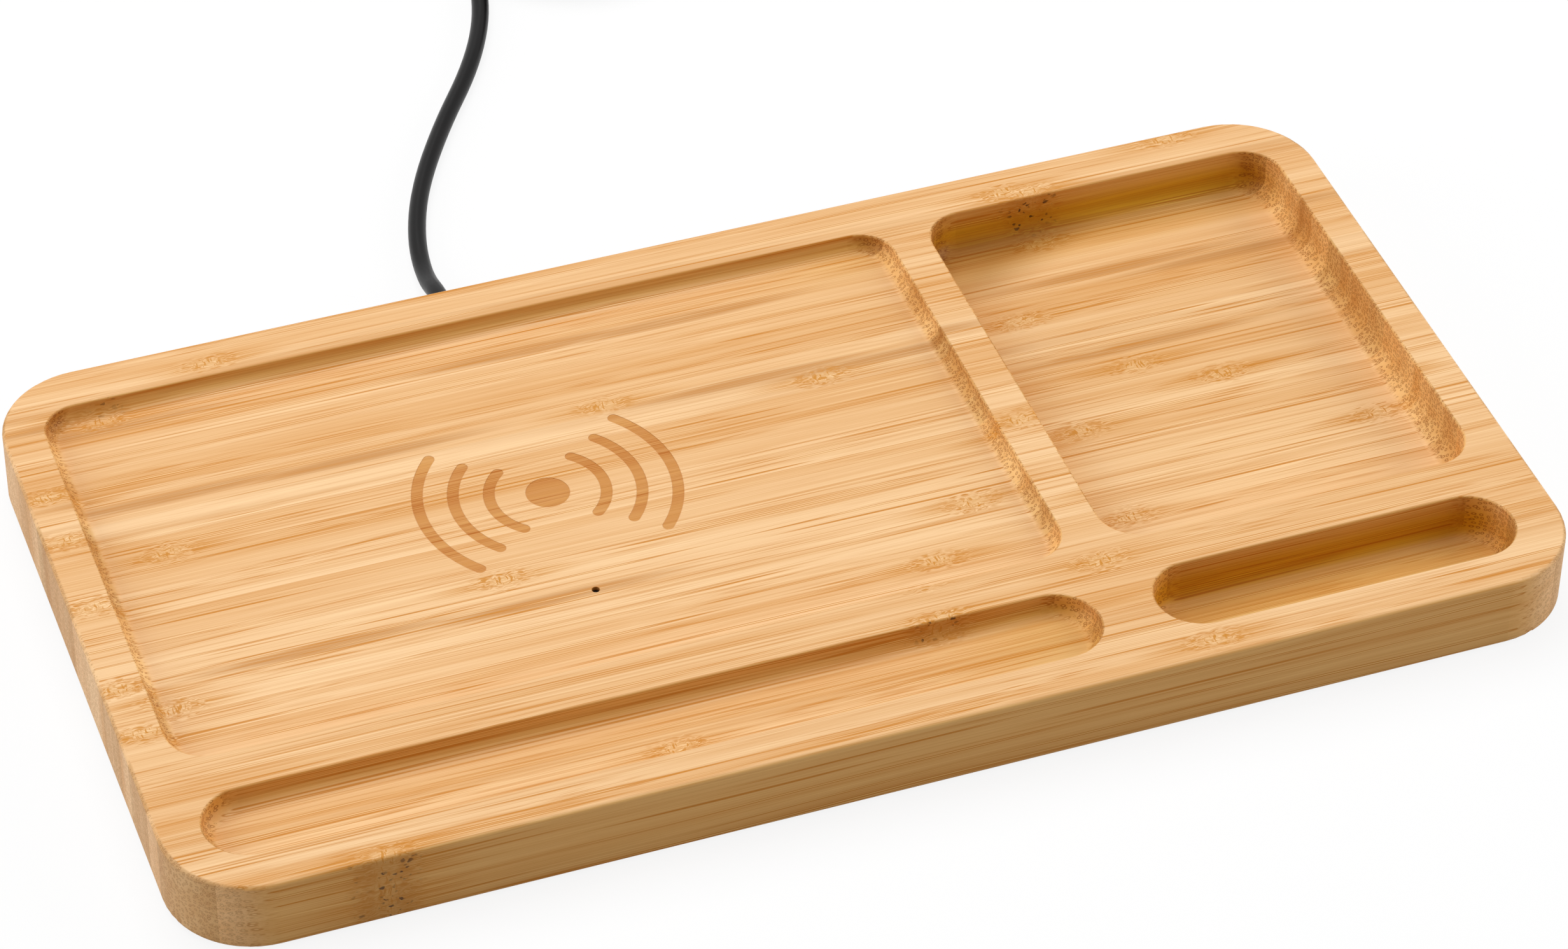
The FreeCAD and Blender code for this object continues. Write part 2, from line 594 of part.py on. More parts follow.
def make_tray():
    """The bamboo board with its recesses, sign, cavity and holes."""
    body = doc.addObject("PartDesign::Body", "board")
    sketch = sketch_at(body, "board_outline", "0", "0", WOOD_LOW)
    rounded_rectangle(sketch, "dim.tray_width", "dim.tray_depth", "dim.tray_corner")
    base = pad(body, "board_pad", sketch, "dim.tray_height")
    ring = ("0", "0", "dim.tray_width", "dim.tray_depth")
    outer = level_edges(base.Shape, WOOD_TOP, *ring) + level_edges(base.Shape, WOOD_LOW, *ring)
    fillet(body, "board_round", "dim.tray_ease", outer)

    charge_size = (CHARGE_WIDTH, RECESS_LENGTH)
    box_size = ("dim.box_width", RECESS_LENGTH)
    groove_size = (GROOVE_LENGTH, "dim.slot_width")
    slot_size = ("dim.slot_length", "dim.slot_width")

    def charge_outline(target):
        rounded_rectangle(target, *charge_size, "dim.charge_corner")

    def box_outline(target):
        rounded_rectangle(target, *box_size, "dim.box_corner")

    def groove_outline(target):
        stadium(target, *groove_size)

    def slot_outline(target):
        stadium(target, *slot_size)

    charge_at = (CHARGE_X, RECESS_Y)
    box_at = (BOX_X, RECESS_Y)
    groove_at = (GROOVE_X, SLOT_Y)
    slot_at = (SLOT_X, SLOT_Y)
    recess(body, "charge", charge_outline, charge_at, charge_size, "dim.charge_depth", "dim.charge_cove")
    recess(body, "box", box_outline, box_at, box_size, "dim.box_depth", "dim.box_cove")
    recess(body, "groove", groove_outline, groove_at, groove_size, "dim.groove_depth", "dim.slot_cove")
    recess(body, "slot", slot_outline, slot_at, slot_size, "dim.slot_depth", "dim.slot_cove")

    def cover_outline(target):
        rounded_rectangle(target, COVER_WIDTH, COVER_LENGTH, "dim.cover_corner")

    def cavity_outline(target):
        rounded_rectangle(target, CAVITY_WIDTH, CAVITY_LENGTH, "dim.cavity_corner")

    def coil_outline(target):
        disc(target, f"2 * ({HOLDER_RADIUS} + dim.fit_play)")

    channel_width = "(dim.terminal_width + 2 * dim.fit_play)"
    channel_length = f"({SIGN_Y} - {TERMINAL_FRONT} + dim.overrun)"

    def channel_outline(target):
        rounded_rectangle(target, channel_width, channel_length, "dim.wire_diameter")

    underside_pocket(body, "cover", cover_outline, CHARGE_X, CAVITY_Y, COVER_TOP)
    underside_pocket(body, "cavity", cavity_outline, CHARGE_X, CAVITY_Y, CEILING)
    underside_pocket(body, "coil", coil_outline, CHARGE_X, SIGN_Y, COIL_CEILING)
    for x, y in side_places(WINDING_RADIUS, f"({SIGN_Y} - {channel_length} / 2)"):
        underside_pocket(body, "channel", channel_outline, x, y, COIL_CEILING)

    keep(cut("tray", body, sign_tools() + hole_tools()), "tray_body")


def sign_tools():
    """Cutting tools for the burnt dot and arcs."""
    low = f"{CHARGE_FLOOR} - dim.sign_burn"
    tools = [rod("sign_dot_mark", CHARGE_X, SIGN_Y, low, "dim.sign_dot", "dim.sign_burn + dim.overrun")]
    for side, middle in (("right", 0.0), ("left", 180.0)):
        for order, span in SIGN_ARCS:
            tools.append(sign_arc(f"sign_{side}_{order}", order, span, middle))
    return tools


def hole_tools():
    """Cutting tools for the feet, the screws, the light guide and the cable."""
    tools = []
    for name, x, y in feet_places():
        low = f"{WOOD_LOW} - dim.overrun"
        diameter = "dim.foot_diameter + 2 * dim.fit_play"
        tools.append(rod(f"{name}_seat", x, y, low, diameter, "dim.foot_seat + dim.overrun"))
    for x, y in cover_screw_places():
        low = f"{COVER_TOP} - dim.overrun"
        height = "dim.cover_bite + dim.overrun + dim.fit_play"
        tools.append(rod("cover_pilot", x, y, low, "dim.cover_shank + 2 * dim.bore_play", height))
    for places in (EARS, board_screw_places(), clamp_screw_places()):
        tools += [pilot_hole("pilot", x, y) for x, y in places]
    light_low = f"{CEILING} - dim.overrun"
    light_height = f"{CHARGE_FLOOR} - {CEILING} + 2 * dim.overrun"
    light_hole = "dim.guide_diameter + 2 * dim.bore_play"
    tools.append(rod("light_hole", CHARGE_X, LIGHT_Y, light_low, light_hole, light_height))
    cable_from = f"{CAVITY_BACK} - dim.overrun"
    cable_hole = "dim.grommet_sleeve + 2 * dim.bore_play"
    cable_length = f"{BACK} - {CAVITY_BACK} + 2 * dim.overrun"
    back = Vector(0, 1, 0)
    tools.append(lying_rod("cable_hole", CHARGE_X, cable_from, CABLE_Z, cable_hole, cable_length, back))
    return tools


def make_cover():
    """The plate that closes the cavity, with countersunk holes."""
    body = doc.addObject("PartDesign::Body", "cover_plate")
    sketch = sketch_at(body, "cover_plate_outline", CHARGE_X, CAVITY_Y, COVER_LOW)
    width = f"{COVER_WIDTH} - 2 * dim.fit_play"
    length = f"{COVER_LENGTH} - 2 * dim.fit_play"
    rounded_rectangle(sketch, width, length, "dim.cover_corner - dim.fit_play")
    pad(body, "cover_plate_pad", sketch, "dim.cover_thickness")
    tools = []
    screws = []
    for x, y in cover_screw_places():
        tools.append(countersunk("cover_hole", x, y, "2 * dim.bore_play", COVER_TOP))
        screws.append(countersunk("cover_screw", x, y, "0", f"({COVER_TOP} + dim.cover_bite)"))
    keep(cut("cover", body, tools), "bottom_cover")
    keep(group("cover_screw_set", screws), "cover_screws")


def countersunk(name, x, y, wider, end):
    """A countersunk screw from the cover's lower face up to its end, or its hole if wider."""
    head = doc.addObject("Part::Cone", f"{name}_head")
    bind(head, Radius1=f"(dim.cover_head + {wider}) / 2", Radius2=f"(dim.cover_shank + {wider}) / 2")
    bind(head, Height="dim.cover_head_height")
    place(head, x, y, COVER_LOW)
    shank = rod(f"{name}_shank", x, y, COVER_LOW, f"dim.cover_shank + {wider}", f"{end} - {COVER_LOW}")
    return join(name, [head, shank])


def make_feet():
    """Four rubber feet in their counterbores."""
    for name, x, y in feet_places():
        keep(rod(f"{name}_pad", x, y, "0", "dim.foot_diameter", "dim.foot_stand + dim.foot_seat"), name)


def make_coil_pack():
    """Holder, shield, adhesive ring and temperature sensor."""
    plate = rod("holder_disc", CHARGE_X, SIGN_Y, HOLDER_LOW, f"2 * {HOLDER_RADIUS}", "dim.holder_plate")
    rim_height = f"{COIL_CEILING} - {HOLDER_LOW}"
    rim = rod("holder_wall", CHARGE_X, SIGN_Y, HOLDER_LOW, f"2 * {HOLDER_RADIUS}", rim_height)
    inner = rod("holder_inside", CHARGE_X, SIGN_Y, HOLDER_FLOOR, f"2 * {RIM_INNER}", rim_height)
    ear_height = f"{CEILING} - {HOLDER_LOW}"
    ears = [rod("holder_ear", x, y, HOLDER_LOW, "dim.ear_diameter", ear_height) for x, y in EARS]
    holes = [clearance_hole("ear_hole", x, y, HOLDER_LOW, ear_height) for x, y in EARS]
    notch_length = f"({HOLDER_RADIUS} + dim.overrun)"
    notch_size = ("dim.terminal_width", notch_length, rim_height)
    notch_places = side_places(WINDING_RADIUS, f"({SIGN_Y} - {notch_length} / 2)")
    notches = [block("lead_notch", x, y, HOLDER_FLOOR, *notch_size) for x, y in notch_places]
    keep(cut("holder", join("holder_blank", [plate, rim] + ears), [inner] + holes + notches), "coil_holder")
    screws = [screw("holder_screw", x, y, HOLDER_LOW, f"({CEILING} + dim.screw_bite)") for x, y in EARS]
    keep(group("holder_screw_set", screws), "holder_screws")

    shield = f"2 * ({RIM_INNER} - dim.fit_play)"
    keep(rod("shield", CHARGE_X, SIGN_Y, HOLDER_FLOOR, shield, "dim.ferrite_thickness"), "ferrite_plate")
    pad_low = f"{COIL_CEILING} - dim.pad_thickness"
    pad_disc = rod("pad_disc", CHARGE_X, SIGN_Y, pad_low, f"2 * {WINDING_RADIUS}", "dim.pad_thickness")
    pad_eye = rod("pad_eye", CHARGE_X, SIGN_Y, pad_low, "2 * dim.coil_eye", "dim.pad_thickness")
    keep(cut("pad_ring", pad_disc, [pad_eye]), "coil_pad")
    sensor_size = ("dim.thermistor_diameter", "dim.thermistor_height")
    keep(rod("sensor", CHARGE_X, SIGN_Y, FERRITE_TOP, *sensor_size), "coil_thermistor")


def half_turns(start, side, radii, climb, rise):
    """Half circles from left to right and back, starting at the left; one of them climbs."""
    here = start
    toward = 1
    arcs = []
    for index, radius in enumerate(radii):
        end = here + Vector(2 * toward * radius, 0, rise if index == climb else 0)
        crest = (here + end) / 2 + Vector(0, side * toward, 0) * (here.distanceToPoint(end) / 2)
        arcs.append(Part.Arc(here, crest, end).toShape())
        here = end
        toward = -toward
    return arcs, here


def layer_radii(eye, pitch, half_turns_in, half_turns_out):
    """Radii of the half turns that spiral in to the eye and out again, half a pitch at a time."""
    inwards = [eye + pitch / 2 * step for step in range(half_turns_in, 0, -1)]
    outwards = [eye + pitch / 2 * step for step in range(1, half_turns_out + 1)]
    return inwards + [eye] + outwards


def pipe(name, edges, diameter):
    """A round solid along tangent edges; prints its length and compares its volume."""
    wire = Part.Wire(edges)
    first = edges[0].firstVertex().Point
    heading = edges[0].tangentAt(edges[0].FirstParameter)
    section = Part.Wire([Part.Circle(first, heading, diameter / 2).toShape()])
    solid = wire.makePipeShell([section], True, False)
    filled = solid.Volume / (math.pi * diameter**2 / 4 * wire.Length)
    print(f"{name}: length {wire.Length:.1f} mm, volume over section times length {filled:.4f}")
    return solid


def least_gap(name, edges, diameter, turn):
    """Prints the least gap between points of a winding that are over half a turn apart."""
    places = []
    travelled = 0.0
    for edge in edges:
        count = max(2, round(edge.Length / diameter) * 2)
        for index in range(count):
            share = index / count
            at = edge.valueAt(edge.FirstParameter + share * (edge.LastParameter - edge.FirstParameter))
            places.append((travelled + share * edge.Length, at))
        travelled += edge.Length
    gap = min(
        at.distanceToPoint(other)
        for index, (along, at) in enumerate(places)
        for other_along, other in places[index + 1:]
        if other_along - along > turn / 2
    ) - diameter
    print(f"{name}: least gap to itself {gap:.2f} mm")


def straight(start, end):
    """A straight edge."""
    return Part.LineSegment(start, end).toShape()


def feature(name, label, shape):
    """A sub-part whose shape is worked out from the sheet's sizes."""
    item = doc.addObject("Part::Feature", name)
    item.Shape = shape
    return keep(item, label)


def make_winding():
    """The two-layer charging coil, with both leads running forward to the board."""
    diameter = value("dim.wire_diameter")
    half_count = 2 * COIL_TURNS_PER_LAYER
    radii = layer_radii(value("dim.coil_eye"), value("dim.wire_pitch"), half_count, half_count)
    start = point(f"{CHARGE_X} - {WINDING_RADIUS}", SIGN_Y, LOWER_TURNS)
    arcs, end = half_turns(start, 1, radii, half_count, value("dim.wire_pitch"))
    lead = Vector(0, value(f"{TERMINAL_BACK} - {SIGN_Y}"), 0)
    edges = [straight(start + lead, start)] + arcs + [straight(end, end + lead)]
    least_gap("charging_coil", arcs, diameter, 2 * math.pi * min(radii))
    feature("winding", "charging_coil", pipe("charging_coil", edges, diameter))


def make_board():
    """The driver board with its spacers, screws, terminals and components."""
    plate_size = (BOARD_WIDTH, "dim.board_length", "dim.board_thickness")
    plate = block("board_plate", CHARGE_X, BOARD_Y, BOARD_LOW, *plate_size)
    spacers = []
    screws = []
    holes = []
    for x, y in board_screw_places():
        height = f"({CEILING} - {BOARD_TOP})"
        sleeve = rod("board_sleeve", x, y, BOARD_TOP, "dim.spacer_diameter", height)
        bore = clearance_hole("sleeve_hole", x, y, BOARD_TOP, height)
        spacers.append(cut("board_spacer", sleeve, [bore]))
        holes.append(clearance_hole("board_hole", x, y, BOARD_LOW, "dim.board_thickness"))
        screws.append(screw("board_screw", x, y, BOARD_LOW, f"({CEILING} + dim.screw_bite)"))
    keep(cut("board", plate, holes), "circuit_board")
    keep(group("board_spacer_set", spacers), "board_spacers")
    keep(group("board_screw_set", screws), "board_screws")

    terminals = []
    lead_heights = (LOWER_TURNS, UPPER_TURNS)
    terminal_y = f"({TERMINAL_BACK} - dim.terminal_length / 2)"
    for (x, y), lead in zip(side_places(WINDING_RADIUS, terminal_y), lead_heights):
        height = f"{lead} + dim.wire_diameter / 2 - {BOARD_TOP}"
        terminal_size = ("dim.terminal_width", "dim.terminal_length", height)
        terminals.append(block("terminal", x, y, BOARD_TOP, *terminal_size))
    keep(group("terminal_set", terminals), "coil_terminals")

    chip_size = ("dim.chip_side", "dim.chip_side", "dim.chip_height")
    keep(component("chip", CHIP_SHARES, *chip_size), "controller_chip")
    bridge_size = ("dim.bridge_side", "dim.bridge_side", "dim.bridge_height")
    bridge = [component("bridge", at, *bridge_size) for at in BRIDGE_SHARES]
    keep(group("bridge_set", bridge), "bridge_transistors")
    capacitor_size = ("dim.capacitor_width", "dim.capacitor_length", "dim.capacitor_height")
    capacitors = [component("capacitor", at, *capacitor_size) for at in CAPACITOR_SHARES]
    keep(group("capacitor_set", capacitors), "resonant_capacitors")
    choke_size = ("dim.inductor_side", "dim.inductor_side", "dim.inductor_height")
    keep(component("choke", INDUCTOR_SHARES, *choke_size), "filter_inductor")


def component(name, shares, length, width, height):
    """A component under the driver board, at shares of the board's size from its middle."""
    x = f"({CHARGE_X} + {shares[0]} * {BOARD_WIDTH})"
    y = f"({BOARD_Y} + {shares[1]} * dim.board_length)"
    return block(name, x, y, f"{BOARD_LOW} - {height}", length, width, height)


def make_indicator():
    """The lamp on the driver board and the clear pin over it."""
    lamp_size = ("dim.led_length", "dim.led_width", "dim.led_height")
    keep(block("lamp", CHARGE_X, LIGHT_Y, BOARD_TOP, *lamp_size), "indicator_led")
    flange_size = ("dim.guide_flange_diameter", f"{CEILING} - {LED_TOP}")
    flange = rod("guide_disc", CHARGE_X, LIGHT_Y, LED_TOP, *flange_size)
    pin_size = ("dim.guide_diameter", f"{CHARGE_FLOOR} - dim.guide_sink - {LED_TOP}")
    pin = rod("guide_pin", CHARGE_X, LIGHT_Y, LED_TOP, *pin_size)
    keep(join("guide", [flange, pin]), "light_guide")


def route_edges(name, route):
    """Straight runs joined by tangent arcs as large as their runs allow; prints the radii."""
    edges = []
    radii = []
    start = route[0]
    for before, corner, after in zip(route, route[1:], route[2:]):
        into = corner - before
        out = after - corner
        turn = into.getAngle(out)
        reach = ARC_SHARE * min(into.Length, out.Length)
        radius = reach / math.tan(turn / 2)
        into.normalize()
        out.normalize()
        inwards = (out - into).normalize()
        centre = corner + inwards * (radius / math.cos(turn / 2))
        first = corner - into * reach
        last = corner + out * reach
        edges.append(straight(start, first))
        edges.append(Part.Arc(first, centre - inwards * radius, last).toShape())
        radii.append(radius)
        start = last
    edges.append(straight(start, route[-1]))
    print(f"{name}: arc radii", ", ".join(f"{radius:.1f}" for radius in radii), "mm")
    return edges


def tube(name, route, diameter):
    """A round solid along a route."""
    return pipe(name, route_edges(name, route), diameter)


def make_cable_entry():
    """Grommet, clamp, the cable inside and its cores."""
    back = Vector(0, 1, 0)
    sleeve_from = f"({BACK} - dim.grommet_length)"
    sleeve_size = ("dim.grommet_sleeve", "dim.grommet_length")
    flange_size = ("dim.grommet_flange_diameter", "dim.grommet_flange")
    bore_size = ("dim.cable_diameter + 2 * dim.bore_play", f"{OUTLET_Y} - {sleeve_from}")
    sleeve = lying_rod("grommet_tube", CHARGE_X, sleeve_from, CABLE_Z, *sleeve_size, back)
    flange = lying_rod("grommet_disc", CHARGE_X, BACK, CABLE_Z, *flange_size, back)
    bore = lying_rod("grommet_bore", CHARGE_X, sleeve_from, CABLE_Z, *bore_size, back)
    keep(cut("grommet", join("grommet_blank", [sleeve, flange]), [bore]), "cable_grommet")

    inside = f"{OUTLET_Y} - {CABLE_END}"
    cable = lying_rod("cable_inside", CHARGE_X, CABLE_END, CABLE_Z, "dim.cable_diameter", inside, back)
    keep(cable, "inner_cable")

    height = f"{CEILING} - {CLAMP_LOW}"
    saddle_size = ("dim.clamp_length", "dim.clamp_width", height)
    saddle = block("clamp_block", CHARGE_X, CLAMP_Y, CLAMP_LOW, *saddle_size)
    channel_low = f"{CLAMP_LOW} + dim.clamp_floor"
    channel_size = ("dim.cable_diameter + 2 * dim.fit_play", "dim.clamp_width", height)
    channel = block("clamp_channel", CHARGE_X, CLAMP_Y, channel_low, *channel_size)
    seat = f"({CLAMP_LOW} + dim.screw_head_height + dim.clamp_sink)"
    tools = [channel]
    screws = []
    for x, y in clamp_screw_places():
        tools.append(clearance_hole("clamp_hole", x, y, CLAMP_LOW, height))
        bore_size = ("dim.screw_head + 2 * dim.fit_play", f"{seat} - {CLAMP_LOW}")
        tools.append(rod("clamp_bore", x, y, CLAMP_LOW, *bore_size))
        screws.append(screw("clamp_screw", x, y, seat, f"({CEILING} + dim.screw_bite)"))
    keep(cut("clamp", saddle, tools), "cable_clamp")
    keep(group("clamp_screw_set", screws), "clamp_screws")

    cores = [supply_core(sign) for sign in (-1, 1)]
    feature("cores", "supply_wires", Part.Compound(cores))


def supply_core(sign):
    """A core from the cable's end, under the coil holder and up to the driver board's underside."""
    near = f"({CHARGE_X} + {sign} * dim.supply_spread / 2)"
    far = f"({CHARGE_X} + {sign} * dim.supply_pads / 2)"
    low_level = f"({HOLDER_LOW} + {COVER_TOP}) / 2"
    board_level = f"{BOARD_LOW} - dim.supply_wire / 2 - dim.seat_gap"
    route = [
        point(near, CABLE_END, CABLE_Z),
        point(near, f"{CABLE_END} - dim.supply_run", CABLE_Z),
        point(near, HOLDER_BACK, low_level),
        point(far, HOLDER_FRONT, low_level),
        point(far, BOARD_BACK, board_level),
        point(far, f"{BOARD_BACK} - dim.supply_pad", board_level),
    ]
    return tube("supply_wires", route, value("dim.supply_wire"))


def make_cable():
    """The cable over the desk, its put-away coil, the strap and the lead to the plug."""
    diameter = value("dim.cable_diameter")
    outlet = point(CHARGE_X, OUTLET_Y, CABLE_Z)
    coil_level = value("dim.cable_diameter / 2 + dim.tie_thickness + dim.tie_play")
    drop = outlet.z - diameter / 2
    route = [outlet + Vector(across, along, -drop * down) for across, along, down in CABLE_ROUTE]
    route[-1].z = coil_level
    route[-2].z = coil_level
    feature("cable_run", "power_cable", tube("power_cable", route, diameter))

    pitch = value("dim.cable_pitch")
    radii = layer_radii(value("dim.cable_eye"), pitch, CABLE_HALF_TURNS_IN, CABLE_HALF_TURNS_OUT)
    begin = route[-1] + Vector(0, diameter, 0)
    arcs, end = half_turns(begin, 1, radii, CABLE_HALF_TURNS_IN, pitch)
    last = radii[-1] + pitch / 2
    slant = math.cos(math.pi / 4) * last
    centre = end + Vector(last, 0, 0)
    top = centre + Vector(0, last, 0)
    arcs.append(Part.Arc(end, centre + Vector(-slant, slant, 0), top).toShape())
    tail = top + Vector(diameter, 0, 0)
    edges = [straight(route[-1], begin)] + arcs + [straight(top, tail)]
    least_gap("cable_coil", arcs, diameter, 2 * math.pi * min(radii))
    feature("cable_turns", "cable_coil", pipe("cable_coil", edges, diameter))
    make_tie(begin, radii)
    return tail


def make_tie(begin, radii):
    """A strap round all the turns at the coil's right side."""
    pitch = value("dim.cable_pitch")
    diameter = value("dim.cable_diameter")
    play = value("dim.tie_play")
    thick = value("dim.tie_thickness")
    width = value("dim.tie_width")
    sag = width**2 / 8 / min(radii)
    right = begin.x + 2 * radii[0]
    inner_left = right - (CABLE_HALF_TURNS_IN - 1) / 2 * pitch - diameter / 2 - sag - play
    inner_right = right + pitch + diameter / 2 + play
    low = begin.z - diameter / 2 - play
    high = begin.z + pitch + diameter / 2 + play
    bend = value("dim.tie_corner")
    outer = Part.makeBox(inner_right - inner_left + 2 * thick, width, high - low + 2 * thick)
    inner = Part.makeBox(inner_right - inner_left, width, high - low)
    outer = outer.makeFillet(bend, [edge for edge in outer.Edges if along_y(edge)])
    inner = inner.makeFillet(bend - thick, [edge for edge in inner.Edges if along_y(edge)])
    inner.translate(Vector(thick, 0, thick))
    strap = feature("strap", "cable_tie", outer.cut(inner))
    strap.Placement = Placement(Vector(inner_left - thick, begin.y - width / 2, low - thick), Rotation())


def along_y(edge):
    """Whether a straight edge runs along Y."""
    heading = edge.tangentAt(edge.FirstParameter)
    return abs(heading.y) > abs(heading.x) + abs(heading.z)


def make_plug(tail):
    """The lead that comes down to the desk and the plug at its end."""
    run = value("dim.plug_run")
    fall = value("dim.plug_drop_run")
    level = value("dim.grip_height / 2")
    route = [
        tail,
        tail + Vector(run, 0, 0),
        Vector(tail.x + run + fall, tail.y, level),
        Vector(tail.x + 2 * run + fall, tail.y, level),
    ]
    feature("plug_cable", "plug_lead", tube("plug_lead", route, value("dim.cable_diameter")))
    at = route[-1]
    x, y, z = (f"({number})" for number in at)
    make_relief(x, y, z)
    make_grip(f"({x} + dim.relief_length)", y, z)


def make_relief(x, y, z):
    """The grooved strain relief."""
    cone = doc.addObject("Part::Cone", "relief_cone")
    cone.Placement = Placement(Vector(), Rotation(Vector(0, 0, 1), Vector(1, 0, 0)))
    bind(cone, Radius1="dim.relief_narrow / 2", Radius2="dim.relief_wide / 2", Height="dim.relief_length")
    place(cone, x, y, z)
    grooves = []
    right = Vector(1, 0, 0)
    for share in RELIEF_GROOVE_SHARES:
        groove_x = f"{x} + {share} * dim.relief_length - dim.relief_groove / 2"
        outer = lying_rod("groove_ring", groove_x, y, z, "2 * dim.relief_wide", "dim.relief_groove", right)
        surface = f"dim.relief_narrow + {share} * (dim.relief_wide - dim.relief_narrow)"
        core = f"{surface} - 2 * dim.relief_groove_depth"
        inner = lying_rod("groove_core", groove_x, y, z, core, "dim.relief_groove", right)
        grooves.append(cut("relief_groove", outer, [inner]))
    keep(cut("relief", cone, grooves), "plug_relief")


def make_grip(x, y, z):
    """The moulded grip with the metal shell, the tongue and the contacts."""
    low = f"({z} - dim.grip_height / 2)"
    middle = f"({x} + dim.grip_length / 2)"
    front = f"({x} + dim.grip_length)"
    body = doc.addObject("PartDesign::Body", "grip_body")
    sketch = sketch_at(body, "grip_outline", middle, y, low)
    rounded_rectangle(sketch, "dim.grip_length", "dim.grip_width", "dim.grip_corner")
    base = pad(body, "grip_pad", sketch, "dim.grip_height")
    ring = (middle, y, "dim.grip_length", "dim.grip_width")
    edges = level_edges(base.Shape, low, *ring) + level_edges(base.Shape, f"{low} + dim.grip_height", *ring)
    fillet(body, "grip_round", "dim.grip_ease", edges)
    shell_back = f"({front} - dim.shell_seat)"
    shell_low = f"({z} - dim.shell_height / 2)"
    play = "2 * dim.bore_play"
    shell_x = f"({shell_back} + dim.shell_length / 2)"
    seat_size = ("dim.shell_length", f"dim.shell_width + {play}", f"dim.shell_height + {play}")
    seat = block("shell_seat_tool", shell_x, y, f"{shell_low} - dim.bore_play", *seat_size)
    keep(cut("grip", body, [seat]), "plug_grip")

    outside_size = ("dim.shell_length", "dim.shell_width", "dim.shell_height")
    outside = block("shell_outside", shell_x, y, shell_low, *outside_size)
    inside_width = "dim.shell_width - 2 * dim.shell_wall"
    inside_height = "dim.shell_height - 2 * dim.shell_wall"
    inside_low = f"{shell_low} + dim.shell_wall"
    inside = block("shell_inside", shell_x, y, inside_low, "dim.shell_length", inside_width, inside_height)
    window_x = f"({shell_back} + dim.shell_length - dim.shell_window_inset)"
    window_low = f"{shell_low} + dim.shell_height / 2"
    window_size = ("dim.shell_window", "dim.shell_window", "dim.shell_height")
    window_rows = [f"({y} + {sign} * dim.shell_window_reach)" for sign in (-1, 1)]
    windows = [block("shell_window_tool", window_x, row, window_low, *window_size) for row in window_rows]
    keep(cut("shell", outside, [inside] + windows), "plug_shell")

    tongue_length = "(dim.shell_length - dim.insert_setback)"
    tongue_low = f"({shell_low} + dim.shell_wall)"
    tongue_size = (tongue_length, f"{inside_width} - {play}", "dim.insert_height")
    tongue_x = f"({shell_back} + {tongue_length} / 2)"
    keep(block("tongue", tongue_x, y, tongue_low, *tongue_size), "plug_insert")
    contact_x = f"({shell_back} + {tongue_length} - dim.insert_setback - dim.contact_length / 2)"
    contact_low = f"{tongue_low} + dim.insert_height"
    contact_size = ("dim.contact_length", "dim.contact_width", "dim.contact_height")
    contact_rows = [f"({y} + {step} * dim.contact_step / 2)" for step in (-3, -1, 1, 3)]
    contacts = [block("contact", contact_x, row, contact_low, *contact_size) for row in contact_rows]
    keep(group("contact_set", contacts), "plug_contacts")


def write_parts():
    """Checks every object and writes each sub-part."""
    doc.recompute()
    faults = [item.Label for item in doc.Objects if {"Invalid", "Error"} & set(item.State)]
    for item in pieces:
        if item.Shape.isNull() or not item.Shape.isValid() or not item.Shape.Solids:
            faults.append(item.Label)
    if faults:
        raise RuntimeError("not built: " + ", ".join(faults))
    os.makedirs("parts", exist_ok=True)
    for item in pieces:
        item.Shape.exportStep(f"parts/{item.Label}.step")
    print(len(pieces), "sub-parts written")


make_tray()
make_cover()
make_feet()
make_coil_pack()
make_winding()
make_board()
make_indicator()
make_cable_entry()
make_plug(make_cable())
write_parts()
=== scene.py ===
"""Bamboo charging tray: its finishes, its free cable, the small fittings and the studio."""
import math

import bmesh
import bpy
from mathutils import Matrix, Vector


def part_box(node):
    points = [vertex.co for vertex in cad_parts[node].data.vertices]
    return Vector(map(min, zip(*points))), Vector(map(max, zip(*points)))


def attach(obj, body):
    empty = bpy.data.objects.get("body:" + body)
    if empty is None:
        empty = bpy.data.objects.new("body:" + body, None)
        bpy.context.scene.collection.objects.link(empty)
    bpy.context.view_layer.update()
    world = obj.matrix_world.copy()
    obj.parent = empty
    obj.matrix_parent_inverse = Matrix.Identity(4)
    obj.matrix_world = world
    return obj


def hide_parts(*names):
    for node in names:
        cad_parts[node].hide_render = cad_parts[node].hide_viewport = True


bl_info = {
    "name": "Bamboo charging tray",
    "version": (1, 0, 0),
    "blender": (4, 5, 0),
    "location": "3D View > Sidebar > Charging tray",
    "description": "Dresses the charging tray: bamboo, charger, cable, plug, fittings and studio",
    "category": "Object",
}

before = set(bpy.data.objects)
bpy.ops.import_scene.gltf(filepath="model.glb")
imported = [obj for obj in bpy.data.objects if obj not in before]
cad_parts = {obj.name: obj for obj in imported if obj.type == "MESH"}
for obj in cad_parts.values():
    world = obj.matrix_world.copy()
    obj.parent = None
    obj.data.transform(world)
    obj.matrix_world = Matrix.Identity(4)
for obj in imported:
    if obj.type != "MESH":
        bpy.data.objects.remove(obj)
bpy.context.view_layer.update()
BODY = "root"

# Camera of the photograph: where it stands and which way its right, up and back point.
CAMERA_PLACE = (-0.278653, -0.757051, 0.721122)
CAMERA_RIGHT = (0.94087621, -0.33860128, 0.01005659)
CAMERA_UP = (0.21565645, 0.62161364, 0.75305297)
CAMERA_BACK = (-0.26123602, -0.70636085, 0.65788304)
CAMERA_LENS, CAMERA_SENSOR = 126.15, 36.0

# The floor's half width, and the lamps: name, setting, place and width, in metres.
FLOOR_REACH = 6.0
LAMPS = (
    ("key_lamp", "key", (-0.12, 0.62, 1.45), 1.2),
    ("left_lamp", "left", (-1.3, 0.1, 0.55), 0.9),
    ("right_lamp", "right", (1.3, -0.35, 0.55), 0.9),
)

